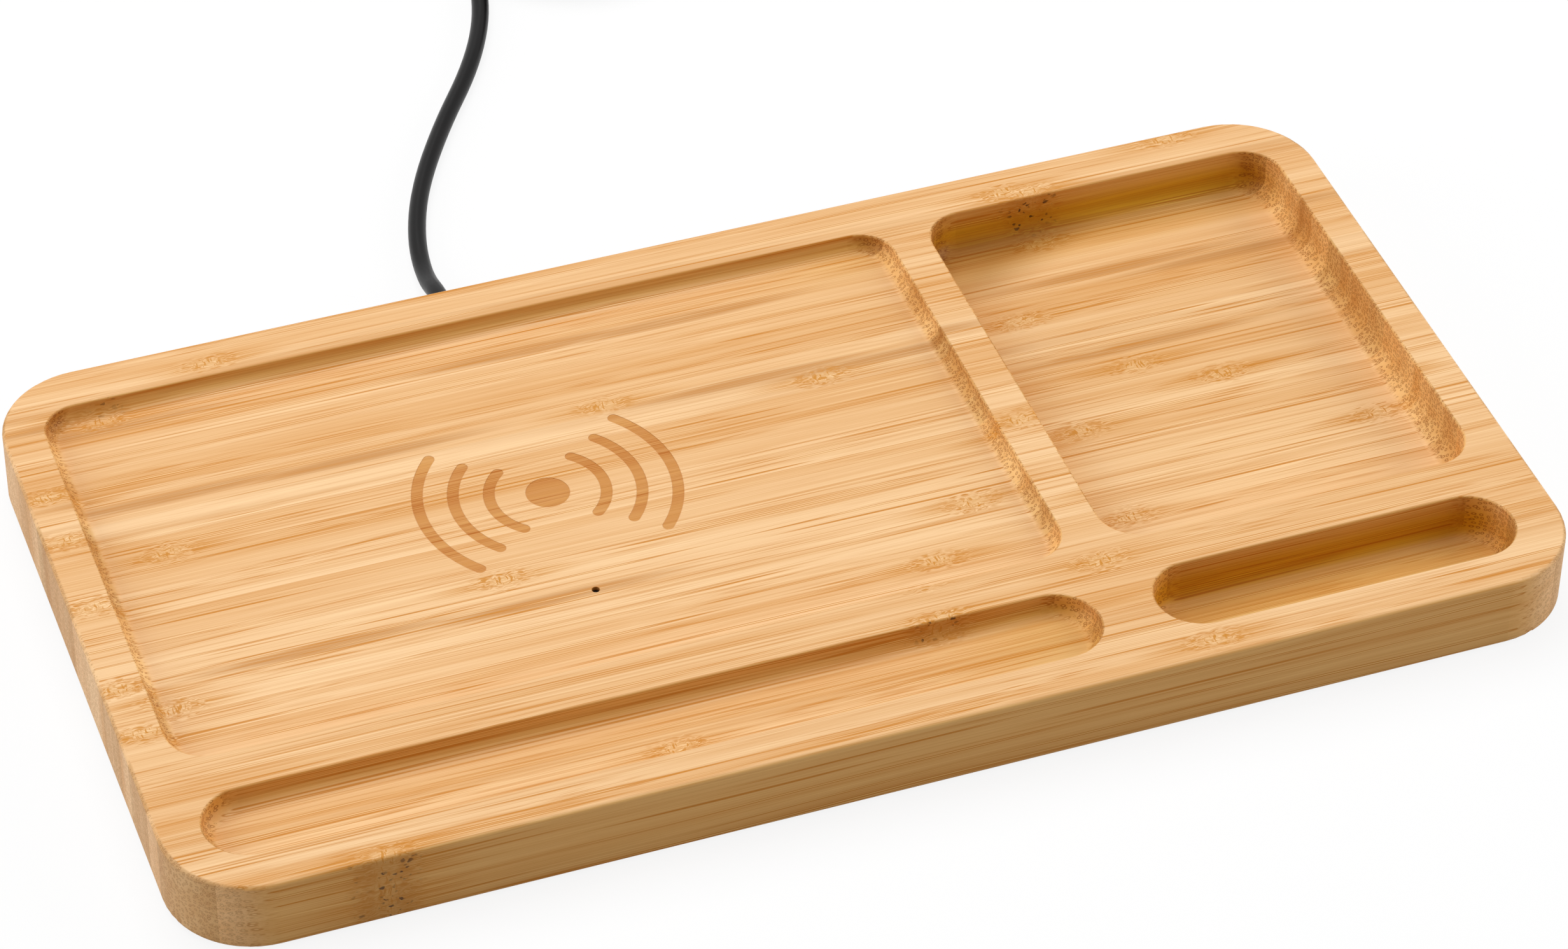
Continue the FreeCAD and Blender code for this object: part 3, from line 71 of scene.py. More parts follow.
# The cable's line in metres: out of the back, down to the desk and away to the coil.
CABLE_ROUTE = (
    (-0.042757, 0.07725, 0.00665),
    (-0.042757, 0.08565, 0.00665),
    (-0.042457, 0.09785, 0.0019),
    (-0.040357, 0.11125, 0.0019),
    (-0.034557, 0.12725, 0.0019),
    (-0.024157, 0.14575, 0.0019),
    (-0.011957, 0.16375, 0.0019),
    (-0.004157, 0.18025, 0.0019),
    (-0.000857, 0.19425, 0.0028),
    (-0.000857, 0.20625, 0.0028),
)
COIL_START = (-0.000857, 0.21005)
COIL_LEVELS = (0.0028, 0.0071)
COIL_RADII = (0.02475, 0.0226, 0.02045, 0.0183, 0.01615, 0.014,
              0.01615, 0.0183, 0.02045, 0.0226, 0.02475, 0.0269)
COIL_CLIMB = 5
COIL_LAST_RADIUS = 0.02905
COIL_STEPS = 8
PLUG_LEAD = (
    (0.031993, 0.2391, 0.0071),
    (0.039993, 0.2391, 0.0071),
    (0.049993, 0.2391, 0.0040),
    (0.057993, 0.2391, 0.0040),
)

# The fittings in metres: where the tie's ends stop, how far it laps and how round it bends.
TIE_THICKNESS, TIE_LAP, TIE_BEND = 0.0007, 0.00075, 0.0026
TIE_START, TIE_END = 0.006, 0.0045
# The cover screws' head, countersink and shank, and how far each is turned from the last.
SCREW_HEAD, SCREW_SUNK, SCREW_SHANK, SCREW_TURN = 0.0022, 0.0012, 0.0011, 0.55
SCREW_EDGE, SCREW_POINT = 0.00008, 0.0001
# Their cross, as shares of the head and countersink: arm, half width, floor and depth.
HEAD_FLAT_SHARE = 0.95
CROSS_SHARES = (0.58, 0.16, 0.7, 0.6)
# The feet's tread: how far in from the rim, and how high.
FOOT_TREAD = ((0.0, 0.0007), (0.0002, 0.0003), (0.0006, 0.0), (0.0016, 0.0), (0.0019, 0.0003))
# The grommet's neck, lip and play, and the lip's rounding: in from its rim and up from its seat,
# in from its rim and under its face, and out from its bore and under its face.
GROMMET_NECK, GROMMET_LIP, GROMMET_PLAY = 0.0030, 0.0015, 0.00005
GROMMET_RISE = ((0.0, 0.0), (0.0, 0.0006), (0.0001, 0.0009))
GROMMET_EDGE = ((0.0004, 0.0003), (0.0009, 0.00005), (0.0013, 0.0))
GROMMET_MOUTH = ((0.0010, 0.0), (0.0005, 0.0002), (0.0001, 0.0007), (0.0, 0.0012))
# The ribs on the plug's grip.
RIB_COUNT, RIB_START, RIB_STEP = 5, 0.0052, 0.0019
RIB_ABOVE = (0.0009, 0.0086, 0.0005)
RIB_BESIDE = (0.0009, 0.0005, 0.0040)
RIB_ROUND_SHARE = 0.42

# Shapes are in metres, and finishes count in millimetres.
MILLIMETRES = 1000.0

# The board: half its width and depth, and how round its corners are.
HALF_BOARD = (140.0, 75.75)
CORNER = 17.7

# Where the recesses get their painted shade, darker and golden, from not at all to fully: the slots,
# the foot of the back walls, and the heights on the left and on the right, with the step between the
# two sides.
SLOTS = (-44.0, -50.0)
BACK_WALLS = (50.0, 66.0)
SUNK_LEFT = (13.5, 7.5)
SUNK_RIGHT = (16.0, 11.0)
SIDE_STEP = (0.0, 45.0)

# Where the square tray's floor gets its painted shadow: the tray, the foot of its left wall, and its
# far corner's reach.
TRAY_ACROSS = (48.0, 52.0)
TRAY_ALONG = (-42.0, -36.0)
TRAY_SIDE = (68.0, 58.0)
TRAY_CORNER = (54.0, 65.0)
TRAY_CORNER_REACH = (40.0, 24.0)

# Grain of the wood along the board, across it and up, and how far each strip's own is shifted.
STRIP_SHIFT = (310.0, 29.0, 47.0)
WAVER_GRAIN = (95, 7, 7)
TWIST_GRAIN = (2.6, 1.8, 1.8)
CLOUD_GRAIN = (120, 2.6, 2.6)
FINE_GRAIN = (60, 0.2, 0.2)
PATCH_GRAIN = (45, 1.6, 1.6)
STROKE_GRAIN = (0.5, 2.4, 2.4)
DASH_CELLS = (3.6, 0.55, 0.55)
SCATTER_GRAIN = (1.6, 1.6, 1.6)
SPECK_CELLS = (1.5, 1.2, 1.0)
BURN_GRAIN = (20, 1.2, 1.2)

# How far a node's mark, its flare and a browner streak reach along and across.
NODE_REACH = (8.6, 4.0)
FLARE_REACH = (20.0, 3.0)
STREAK_REACH = (36.0, 2.2)

# The burnt sign, in millimetres: its middle, floor, dot, stroke and edge, and its arcs' radii and
# half spans in degrees.
SIGN_MIDDLE = (-42.757, 13.5)
SIGN_FLOOR = 12.4
SIGN_DOT = 4.35
SIGN_STROKE = 1.15
SIGN_EDGE = 0.12
SIGN_ARCS = ((11.5, 49.0), (18.5, 42.5), (25.5, 41.5))

# Where the bamboo's nodes cross the board.
NODE_MARKS = (
    (-119.3, 62.6), (-95.9, 69.0), (-136.0, 39.9), (-135.5, 26.5), (-135.5, 6.5), (-136.7, -17.1),
    (-117.1, 20.6), (-127.7, -22.0), (-134.9, -30.0), (-102.4, -74.9), (-24.2, 34.7), (-58.9, -7.9),
    (21.8, -30.0), (16.1, -38.5), (14.8, -49.2), (-41.7, -61.8), (50.2, -44.0), (62.1, -71.5),
    (34.5, -16.3), (50.6, -0.1), (65.6, 2.8), (83.9, 18.3), (99.5, 10.3), (124.4, -11.3),
    (80.0, 61.2), (112.7, 73.9), (74.3, 68.4), (79.0, 66.6), (64.6, -24.3), (66.5, 38.8),
    (20.1, 28.8),
)
# Middles of the browner streaks.
BROWN_STREAKS = (
    (-112.0, 36.2), (-74.0, 35.3), (6.0, 32.6), (34.0, 30.6), (-96.0, -14.8), (-52.0, -16.1),
    (-34.0, 56.0), (-2.0, 55.3), (92.0, 48.5), (118.0, 45.5), (88.0, 24.2), (-120.0, 60.0),
)

# The charger's moulded pieces: nodes, finish, its light and dark tones, grain and roughness.
CHARGER_FINISHES = (
    (("coil_holder", "cable_clamp"), "holder_plastic", (58, 58, 60), (44, 44, 46), 0.3, 0.55),
    (("ferrite_plate",), "ferrite", (66, 63, 62), (48, 46, 46), 0.15, 0.6),
    (("coil_pad",), "pad_foam", (222, 220, 212), (200, 198, 190), 0.2, 0.85),
    (("coil_thermistor",), "sensor_bead", (52, 48, 46), (36, 34, 33), 0.2, 0.3),
    (("circuit_board",), "board_laminate", (40, 96, 62), (26, 72, 46), 0.25, 0.38),
    (("board_spacers",), "spacer_nylon", (226, 222, 210), (206, 202, 190), 0.3, 0.5),
    (("controller_chip", "bridge_transistors"), "chip_case",
     (48, 48, 50), (34, 34, 36), 0.12, 0.55),
    (("resonant_capacitors",), "capacitor_ceramic", (196, 162, 118), (170, 134, 92), 0.2, 0.42),
    (("filter_inductor",), "inductor_core", (86, 84, 84), (62, 60, 60), 0.12, 0.6),
    (("indicator_led",), "lamp_case", (238, 238, 226), (222, 222, 208), 0.15, 0.3),
    (("supply_wires",), "core_sleeve", (176, 40, 34), (148, 30, 26), 0.3, 0.42),
)


def tone(red, green, blue):
    """A colour as a screen shows it, from 0 to 255, as Blender's linear values."""
    shares = [level / 255 for level in (red, green, blue)]
    return tuple(s / 12.92 if s <= 0.04045 else ((s + 0.055) / 1.055) ** 2.4 for s in shares)


def colour(label, text, red, green, blue):
    """A colour setting."""
    return bpy.props.FloatVectorProperty(
        name=label, description=text, subtype="COLOR", size=3, min=0.0, max=1.0,
        default=tone(red, green, blue))


def length(label, text, metres):
    """A length setting."""
    return bpy.props.FloatProperty(
        name=label, description=text, default=metres, min=0.0, precision=5,
        subtype="DISTANCE", unit="LENGTH")


def share(label, text, value, most=1.0):
    """A plain number setting."""
    return bpy.props.FloatProperty(name=label, description=text, default=value, min=0.0, max=most)


class BambooSettings(bpy.types.PropertyGroup):
    """Colours and sizes of the laminated bamboo, with the painted shades of its walls and recesses.
    """

    light: colour("Light strip", "The palest strips", 244, 203, 153)
    honey: colour("Honey strip", "The darker strips", 224, 169, 108)
    brown: colour("Brown streak", "Streaks of older culm", 194, 135, 72)
    line: colour("Fibre line", "Fibre bundles cut along the board", 203, 131, 42)
    fibre: colour("Fibre end", "Fibre bundles cut across", 162, 99, 40)
    pale: colour("Pale line", "Soft tissue inside a bundle", 255, 222, 170)
    fleck: colour("Node fleck", "Short fibres at a node", 206, 137, 46)
    # Painted shade: the darker, golden colour of cut walls in the recesses.
    wall_shade: colour("Routed wall", "What a cut wall keeps of the wood's colour", 242, 231, 184)
    # Painted shade: the golden, darker colour of deep recesses, where light does not reach.
    shaded: colour("Deep recess", "What a deep recess keeps of the wood's colour", 236, 228, 100)
    # Painted shadow: the square tray's floor darker along its left wall and toward its far corner.
    corner_shade: colour(
        "Deep corner", "What the square tray's far corner keeps of the wood's colour", 209, 196, 164)
    end_strip: colour(
        "End strip", "What the darker strips keep of their colour on an end", 228, 220, 204)
    end_grain: colour("End grain", "What a recess's end keeps of the wood's colour", 255, 249, 226)
    # Painted shade: the long outer faces darker and golden.
    outside: colour(
        "Outer face", "What the long outer faces keep of the wood's colour", 250, 239, 202)
    speck: colour("Node speck", "Dark specks at a node", 74, 46, 25)
    scorch: colour("Scorch", "What the burnt sign keeps of the wood's colour", 221, 190, 136)
    strip_width: length("Strip width", "How wide a strip is on the board's face", 0.0070)
    bundle_pitch: length("Bundle pitch", "How far apart the fibre bundles are", 0.00088)


class CableSettings(bpy.types.PropertyGroup):
    """The free cable and its tie."""

    diameter: length("Cable diameter", "Thickness of the jacket", 0.0038)
    real_length: length("Cable length", "From the back of the tray to the plug", 0.99)
    jacket: colour("Jacket", "The cable's black jacket", 11, 9, 9)
    strap: colour("Strap", "The woven tie round the coil", 54, 54, 58)


class StudioSettings(bpy.types.PropertyGroup):
    """The floor and the light."""

    floor: colour("Floor", "The plain pale floor", 250, 250, 250)
    glow: share("Glow", "How much of the floor's white shines by itself", 0.87)
    bounce: share("Bounce", "How much light the floor sends back up", 0.52)
    ambient: share("Ambient", "Light from all round", 0.23)
    key: share("Key lamp", "Power of the large lamp over the tray, in watts", 17.6, 200.0)
    left: share("Left lamp", "Power of the soft lamp on the left, in watts", 7.5, 200.0)
    right: share("Right lamp", "Power of the soft lamp on the right, in watts", 9.5, 200.0)


class Finish:
    """A finish under construction, with short calls for the nodes that make it."""

    def __init__(self, name, **sockets):
        self.material = bpy.data.materials.new(name)
        self.material.use_nodes = True
        self.tree = self.material.node_tree
        self.surface = self.tree.nodes["Principled BSDF"]
        for socket, value in sockets.items():
            self.feed(self.surface.inputs[socket.replace("_", " ")], value)
        source = self.add("TexCoord")
        self.facing = source.outputs["Normal"]
        self.place = self.vector("SCALE", source.outputs["Object"], Scale=MILLIMETRES)

    def add(self, kind, **settings):
        """A new node with these settings."""
        node = self.tree.nodes.new("ShaderNode" + kind)
        for name, value in settings.items():
            setattr(node, name, value)
        return node

    def feed(self, socket, value):
        """Links a socket, or sets it to a plain value."""
        if isinstance(value, bpy.types.NodeSocket):
            self.tree.links.new(value, socket)
        elif socket.type == "RGBA" and len(value) == 3:
            socket.default_value = (*value, 1.0)
        else:
            socket.default_value = value

    def math(self, operation, *values):
        """One sum on plain numbers."""
        node = self.add("Math", operation=operation)
        for socket, value in zip(node.inputs, values):
            self.feed(socket, value)
        return node.outputs[0]

    def vector(self, operation, *values, **named):
        """One sum on places."""
        node = self.add("VectorMath", operation=operation)
        for socket, value in zip(node.inputs, values):
            self.feed(socket, value)
        for name, value in named.items():
            self.feed(node.inputs[name], value)
        single = operation in ("DISTANCE", "LENGTH", "DOT_PRODUCT")
        return node.outputs["Value" if single else "Vector"]

    def split(self, vector):
        """The three numbers of a place or colour."""
        node = self.add("SeparateXYZ")
        self.feed(node.inputs[0], vector)
        return node.outputs

    def joined(self, across, along, up):
        """A place from three numbers."""
        node = self.add("CombineXYZ")
        for socket, value in zip(node.inputs, (across, along, up)):
            self.feed(socket, value)
        return node.outputs[0]

    def stretched(self, place, size):
        """The place counted in grains of this size, in millimetres."""
        return self.vector("MULTIPLY", place, tuple(1.0 / side for side in size))

    def noise(self, place, size, detail=2.0, output="Fac"):
        """Soft noise with grains of this size, in millimetres."""
        node = self.add("TexNoise")
        self.feed(node.inputs["Vector"], self.stretched(place, size))
        self.feed(node.inputs["Scale"], 1.0)
        self.feed(node.inputs["Detail"], detail)
        return node.outputs[output]

    def cells(self, place, size):
        """Cells of this size, in millimetres: how far their middle is, and their own colours."""
        node = self.add("TexVoronoi")
        self.feed(node.inputs["Vector"], self.stretched(place, size))
        self.feed(node.inputs["Scale"], 1.0)
        return node.outputs["Distance"], self.split(node.outputs["Color"])

    def fade(self, value, start, stop):
        """0 at the start, 1 at the stop, and smooth between."""
        node = self.add("MapRange", interpolation_type="SMOOTHSTEP")
        self.feed(node.inputs["Value"], value)
        self.feed(node.inputs["From Min"], start)
        self.feed(node.inputs["From Max"], stop)
        return node.outputs["Result"]

    def span(self, value, low, high):
        """A share from 0 to 1 turned into a number from low to high."""
        return self.math("MULTIPLY_ADD", value, high - low, low)

    def times(self, *values):
        """All these numbers multiplied."""
        result = values[0]
        for value in values[1:]:
            result = self.math("MULTIPLY", result, value)
        return result

    def blend(self, first, second, part, how="MIX"):
        """A colour between two."""
        node = self.add("Mix", data_type="RGBA", blend_type=how)
        sockets = [s for s in node.inputs if s.enabled]
        for socket, value in zip(sockets, (part, first, second)):
            self.feed(socket, value)
        return next(s for s in node.outputs if s.enabled)

    def relief(self, height, depth, strength=1.0):
        """Raises the surface by this height, at most this deep in metres."""
        node = self.add("Bump")
        self.feed(node.inputs["Strength"], strength)
        self.feed(node.inputs["Distance"], depth)
        self.feed(node.inputs["Height"], height)
        self.feed(self.surface.inputs["Normal"], node.outputs[0])

    def paint(self, base, roughness=None):
        """Gives the surface its colour, and its roughness where that varies."""
        self.feed(self.surface.inputs["Base Color"], base)
        if roughness is not None:
            self.feed(self.surface.inputs["Roughness"], roughness)
        return self.material


def nearest(finish, place, spots, along, across):
    """How far the nearest of these spots is, counted in its own reach along and across."""
    flat = finish.vector("MULTIPLY", place, (1.0 / along, 1.0 / across, 0.0))
    least = None
    for x, y in spots:
        away = finish.vector("DISTANCE", flat, (x / along, y / across, 0.0))
        least = away if least is None else finish.math("MINIMUM", least, away)
    return least


def wandering(finish, place, near):
    """The place as the fibres see it: they waver along the board and twist at the nodes."""
    half = (0.5, 0.5, 0.5)
    waver = finish.vector("SUBTRACT", finish.noise(place, WAVER_GRAIN, 1.0, "Color"), half)
    twist = finish.vector("SUBTRACT", finish.noise(place, TWIST_GRAIN, 1.0, "Color"), half)
    bent = finish.vector("MULTIPLY_ADD", waver, (0.0, 1.2, 2.2), place)
    pull = finish.vector("SCALE", twist, Scale=finish.math("MULTIPLY", near, 1.5))
    return finish.vector("MULTIPLY_ADD", pull, (0.6, 1.0, 1.0), bent)


def strips(finish, place, width):
    """The board's glued strips: their own colours, and how near the dense side of the culm is."""
    across = finish.math("DIVIDE", finish.split(place)[1], width)
    node = finish.add("TexVoronoi", voronoi_dimensions="1D")
    finish.feed(node.inputs["W"], across)
    finish.feed(node.inputs["Scale"], 1.0)
    finish.feed(node.inputs["Randomness"], 0.45)
    own = node.outputs["Color"]
    side = finish.math("SUBTRACT", across, node.outputs["W"])
    turned = finish.math("SIGN", finish.math("SUBTRACT", finish.split(own)[2], 0.5))
    return own, finish.fade(finish.math("MULTIPLY", side, turned), -0.5, 0.5)


def burnt_sign(finish, place):
    """Where the sign is burnt in: a dot between three pairs of round-ended arcs."""
    x, y, z = finish.split(finish.vector("SUBTRACT", place, (*SIGN_MIDDLE, SIGN_FLOOR)))
    out = finish.math("ABSOLUTE", x)
    flat = finish.joined(out, y, 0.0)
    angle = finish.math("ARCTAN2", y, out)
    mask = finish.fade(finish.vector("LENGTH", flat), SIGN_DOT + SIGN_EDGE, SIGN_DOT - SIGN_EDGE)
    for radius, span in SIGN_ARCS:
        end = math.radians(span)
        held = finish.math("MINIMUM", finish.math("MAXIMUM", angle, -end), end)
        tip = finish.joined(
            finish.math("MULTIPLY", finish.math("COSINE", held), radius),
            finish.math("MULTIPLY", finish.math("SINE", held), radius), 0.0)
        away = finish.vector("DISTANCE", flat, tip)
        arc = finish.fade(away, SIGN_STROKE + SIGN_EDGE, SIGN_STROKE - SIGN_EDGE)
        mask = finish.math("MAXIMUM", mask, arc)
    return finish.math("MULTIPLY", mask, finish.math("GREATER_THAN", z, 0.0))


def bundles(wood, section, pitch, reach, end):
    """Fibre bundles: dark rings round a pale eye, some of them faint where they are cut along."""
    node = wood.add("TexVoronoi", voronoi_dimensions="2D")
    wood.feed(node.inputs["Vector"], wood.vector("SCALE", section, Scale=1.0 / pitch))
    wood.feed(node.inputs["Scale"], 1.0)
    wood.feed(node.inputs["Randomness"], 0.7)
    away = node.outputs["Distance"]
    eye = wood.fade(away, 0.2, 0.06)
    ring = wood.math("SUBTRACT", wood.fade(away, reach, reach - 0.12), eye)
    kind = wood.split(node.outputs["Color"])[0]
    weight = wood.math("MAXIMUM", wood.fade(kind, 0.2, 0.75), wood.span(end, 0.1, 0.9))
    return wood.times(ring, weight), wood.times(eye, weight)


def strip_colours(wood, base, place, grain, dense, end, look):
    """Brown streaks, the flare round each node, and fine dark and pale lines along the strips."""
    streak = wood.fade(nearest(wood, place, BROWN_STREAKS, *STREAK_REACH), 1.0, 0.3)
    flare = wood.fade(nearest(wood, place, NODE_MARKS, *FLARE_REACH), 1.0, 0.25)
    fine = wood.noise(grain, FINE_GRAIN, 2.0)
    base = wood.blend(base, look.brown, wood.math("MULTIPLY", streak, 0.75))
    flared = wood.times(flare, wood.span(wood.fade(fine, 0.42, 0.58), 0.2, 0.85))
    base = wood.blend(base, look.fleck, flared)
    heavy = wood.span(wood.math("MAXIMUM", dense, streak), 0.2, 0.75)
    lined = wood.times(wood.fade(fine, 0.5, 0.7), heavy, wood.span(end, 1.0, 0.25))
    base = wood.blend(base, look.line, lined)
    thin = wood.times(wood.fade(fine, 0.46, 0.26), wood.span(end, 0.35, 0.05))
    return wood.blend(base, look.pale, thin)


def fibres(wood, base, grain, dense, heart, inside, end, look):
    """The fibre bundles, closer together on a strip's dense side, and where they are."""
    across, up = wood.split(grain)[1:]
    section = wood.joined(across, up, 0.0)
    pitch = look.bundle_pitch * MILLIMETRES
    ring, eye = bundles(wood, section, pitch, 0.38, end)
    ring_near, eye_near = bundles(wood, section, pitch * 0.6, 0.31, end)
    outer = wood.fade(dense, 0.35, 0.6)
    patches = wood.span(wood.fade(wood.noise(grain, PATCH_GRAIN, 1.0), 0.36, 0.58), 0.2, 1.0)
    calm = wood.times(wood.math("MAXIMUM", patches, end), wood.span(heart, 1.0, 0.3))
    bundle = wood.times(wood.math("MAXIMUM", ring, wood.times(ring_near, outer)), calm)
    soft = wood.times(wood.math("MAXIMUM", eye, wood.times(eye_near, outer)), calm)
    base = wood.blend(base, look.pale, wood.times(soft, wood.span(end, 0.55, 0.3)))
    lost = wood.math("MULTIPLY", end, wood.span(inside, 0.3, 0.14))
    strength = wood.math("SUBTRACT", 0.9, lost)
    dark = wood.blend(look.line, look.fibre, end)
    return wood.blend(base, dark, wood.times(bundle, strength)), bundle


def node_flecks(wood, base, place, grain, near, heart, flank, look):
    """The marks of a node: pale heart, fine strokes across, dashes and, on a wall, dark specks."""
    base = wood.blend(base, look.pale, wood.math("MULTIPLY", heart, 0.22))
    stroke = wood.fade(wood.noise(grain, STROKE_GRAIN, 1.0), 0.55, 0.63)
    base = wood.blend(base, look.fleck, wood.times(stroke, heart, 0.95))
    away, kind = wood.cells(grain, DASH_CELLS)
    dash = wood.times(wood.fade(away, 0.4, 0.24), wood.fade(kind[0], 0.2, 0.6), near, 0.9)
    base = wood.blend(base, look.fleck, dash)
    scatter = wood.noise(place, SCATTER_GRAIN, 2.0, "Color")
    loose = wood.vector("MULTIPLY_ADD", scatter, (1.5, 1.5, 1.5), place)
    away, kind = wood.cells(loose, SPECK_CELLS)
    size = wood.span(kind[2], 0.18, 0.5)
    spot = wood.fade(away, size, wood.math("SUBTRACT", size, 0.16))
    speck = wood.times(spot, wood.fade(kind[1], 0.3, 0.75), near, flank, 0.9)
    base = wood.blend(base, look.brown, wood.times(near, flank, 0.45))
    return wood.blend(base, look.speck, speck)


def within(wood, place):
    """1 inside the recesses and on the top, 0 on the board's outer faces."""
    flat = wood.vector("MULTIPLY", wood.vector("ABSOLUTE", place), (1.0, 1.0, 0.0))
    past = wood.vector("SUBTRACT", flat, (*(half - CORNER for half in HALF_BOARD), 0.0))
    out = wood.vector("LENGTH", wood.vector("MAXIMUM", past, (0.0, 0.0, 0.0)))
    return wood.fade(out, CORNER - 1.0, CORNER - 3.0)


def cut_faces(wood, base, second, inside, end, flank, wall, look):
    """Strips stand out on the ends, and painted shade makes the long outer faces and cut walls
    darker and golden.
    """
    outer = wood.math("SUBTRACT", 1.0, inside)
    base = wood.blend(base, look.light, wood.times(end, outer, 0.25))
    banded = wood.blend((1.0, 1.0, 1.0), look.end_strip, wood.fade(second, 0.2, 0.8))
    base = wood.blend(base, banded, end, "MULTIPLY")
    # Painted shade: the long outer faces darker and golden.
    long_side = wood.times(flank, outer, wood.span(end, 1.0, 0.2))
    base = wood.blend(base, look.outside, long_side, "MULTIPLY")
    base = wood.blend(base, look.end_grain, wood.times(end, inside), "MULTIPLY")
    # Painted shade: the cut walls inside the recesses darker and golden.
    cut = wood.math("MAXIMUM", flank, wood.times(wall, wood.span(end, 0.4, 0.1)))
    return wood.blend(base, look.wall_shade, wood.times(cut, inside), "MULTIPLY")


def recess_shade(wood, base, place, inside, end, flank, look):
    """Painted shade in the deep recesses, darker and golden, and a painted shadow in the square
    tray's far corner.
    """
    x, y, z = wood.split(place)
    turn_y, turn_z = wood.split(wood.facing)[1:]
    right = wood.fade(x, *SIDE_STEP)
    top, bottom = (wood.span(right, *levels) for levels in zip(SUNK_LEFT, SUNK_RIGHT))
    sunk = wood.times(wood.fade(z, top, bottom), inside)
    slot = wood.math("MULTIPLY", wood.fade(y, *SLOTS), 0.45)
    foot = wood.math("MULTIPLY", wood.fade(y, *BACK_WALLS), 0.5)
    shade = wood.math("MAXIMUM", wood.math("MAXIMUM", slot, foot), wood.span(end, 0.04, 0.1))
    facing_front = wood.times(flank, wood.span(wood.fade(turn_y, -0.1, 0.1), 1.0, 0.2))
    shade = wood.times(wood.math("MAXIMUM", shade, facing_front), wood.fade(turn_z, -0.5, -0.1))
    # Painted shade: deep recesses darker and golden, most on walls facing the front.
    base = wood.blend(base, look.shaded, wood.times(sunk, shade), "MULTIPLY")

    # Painted shadow on the square tray's floor, along its left wall and into its far corner.
    away = wood.vector("SUBTRACT", place, (*TRAY_CORNER, 0.0))
    aside, behind = wood.split(wood.stretched(away, (*TRAY_CORNER_REACH, 1.0)))[:2]
    corner = wood.fade(wood.math("SUBTRACT", aside, behind), 1.2, 0.6)
    beside = wood.math("MULTIPLY", wood.fade(x, *TRAY_SIDE), 0.4)
    tray = wood.times(sunk, wood.fade(x, *TRAY_ACROSS), wood.fade(y, *TRAY_ALONG))
    dim = wood.times(tray, wood.fade(turn_z, 0.2, 0.9), wood.math("MAXIMUM", corner, beside))
    return wood.blend(base, look.corner_shade, dim, "MULTIPLY")


def bamboo(look):
    """Laminated bamboo on edge: strips, fibres along the board, rings on its ends and nodes."""
    wood = Finish("bamboo", Specular_IOR_Level=0.2)
    place = wood.place
    knot = nearest(wood, place, NODE_MARKS, *NODE_REACH)
    near = wood.fade(knot, 1.0, 0.4)
    heart = wood.fade(knot, 0.45, 0.2)
    own, dense = strips(wood, place, look.strip_width * MILLIMETRES)
    first, second = wood.split(own)[:2]
    grain = wood.vector("MULTIPLY_ADD", own, STRIP_SHIFT, wandering(wood, place, near))
    face_x, face_y, face_z = wood.split(wood.vector("ABSOLUTE", wood.facing))
    end = wood.fade(face_x, 0.02, 0.5)
    flank = wood.fade(face_y, 0.2, 0.9)
    wall = wood.fade(face_z, 0.9, 0.4)
    inside = within(wood, place)

    cloud = wood.noise(grain, CLOUD_GRAIN, 2.0)
    mellow = wood.math("MULTIPLY_ADD", first, 0.75, wood.span(cloud, -0.75, 0.75))
    base = wood.blend(look.light, look.honey, wood.math("MULTIPLY_ADD", dense, 0.25, mellow))
    older = wood.times(wood.fade(second, 0.6, 1.0), wood.fade(cloud, 0.38, 0.6), 0.5)
    base = wood.blend(base, look.brown, older)
    base = strip_colours(wood, base, place, grain, dense, end, look)
    base, bundle = fibres(wood, base, grain, dense, heart, inside, end, look)
    base = node_flecks(wood, base, place, grain, near, heart, flank, look)
    base = cut_faces(wood, base, second, inside, end, flank, wall, look)
    base = recess_shade(wood, base, place, inside, end, flank, look)
    uneven = wood.span(wood.noise(grain, BURN_GRAIN, 2.0), 0.75, 1.2)
    burn = wood.math("MULTIPLY", burnt_sign(wood, place), uneven)
    base = wood.blend(base, look.scorch, burn, "MULTIPLY")
    wood.relief(wood.math("MULTIPLY", bundle, -1.0), 0.00002, 0.3)
    return wood.paint(base, wood.span(bundle, 0.5, 0.62))


def moulded(name, light, dark, grain, roughness, depth=0.00002, **sockets):
    """A moulded or pressed surface: fine mottling in its colour, gloss and relief."""
    skin = Finish(name, **sockets)
    mottle = skin.noise(skin.place, (grain, grain, grain), 3.0)
    broad = skin.noise(skin.place, (grain * 14, grain * 14, grain * 14), 3.0)
    both = skin.math("MULTIPLY_ADD", broad, 0.35, mottle)
    base = skin.blend(dark, light, skin.fade(both, 0.4, 0.95))
    skin.relief(mottle, depth, 0.6)
    return skin.paint(base, skin.span(mottle, roughness - 0.07, roughness + 0.07))


def brushed(name, light, dark, size, roughness, **sockets):
    """Metal with fine lines along its longer side."""
    skin = Finish(name, Metallic=1.0, **sockets)
    lines = skin.noise(skin.place, size, 3.0)
    skin.relief(lines, 0.00001, 0.4)
    gloss = skin.span(lines, roughness - 0.08, roughness + 0.08)
    return skin.paint(skin.blend(dark, light, lines), gloss)


def jacket_finish(look):
    """Satin black cable jacket with a faint drawn grain."""
    skin = Finish("cable_jacket", Specular_IOR_Level=0.15)
    grain = skin.noise(skin.place, (0.5, 2.4, 0.5), 3.0)
    cloud = skin.noise(skin.place, (14, 14, 14), 2.0)
    dark = tuple(0.6 * level for level in look.jacket)
    base = skin.blend(dark, look.jacket, skin.fade(cloud, 0.35, 0.65))
    skin.relief(grain, 0.00001, 0.3)
    return skin.paint(base, skin.span(grain, 0.26, 0.4))


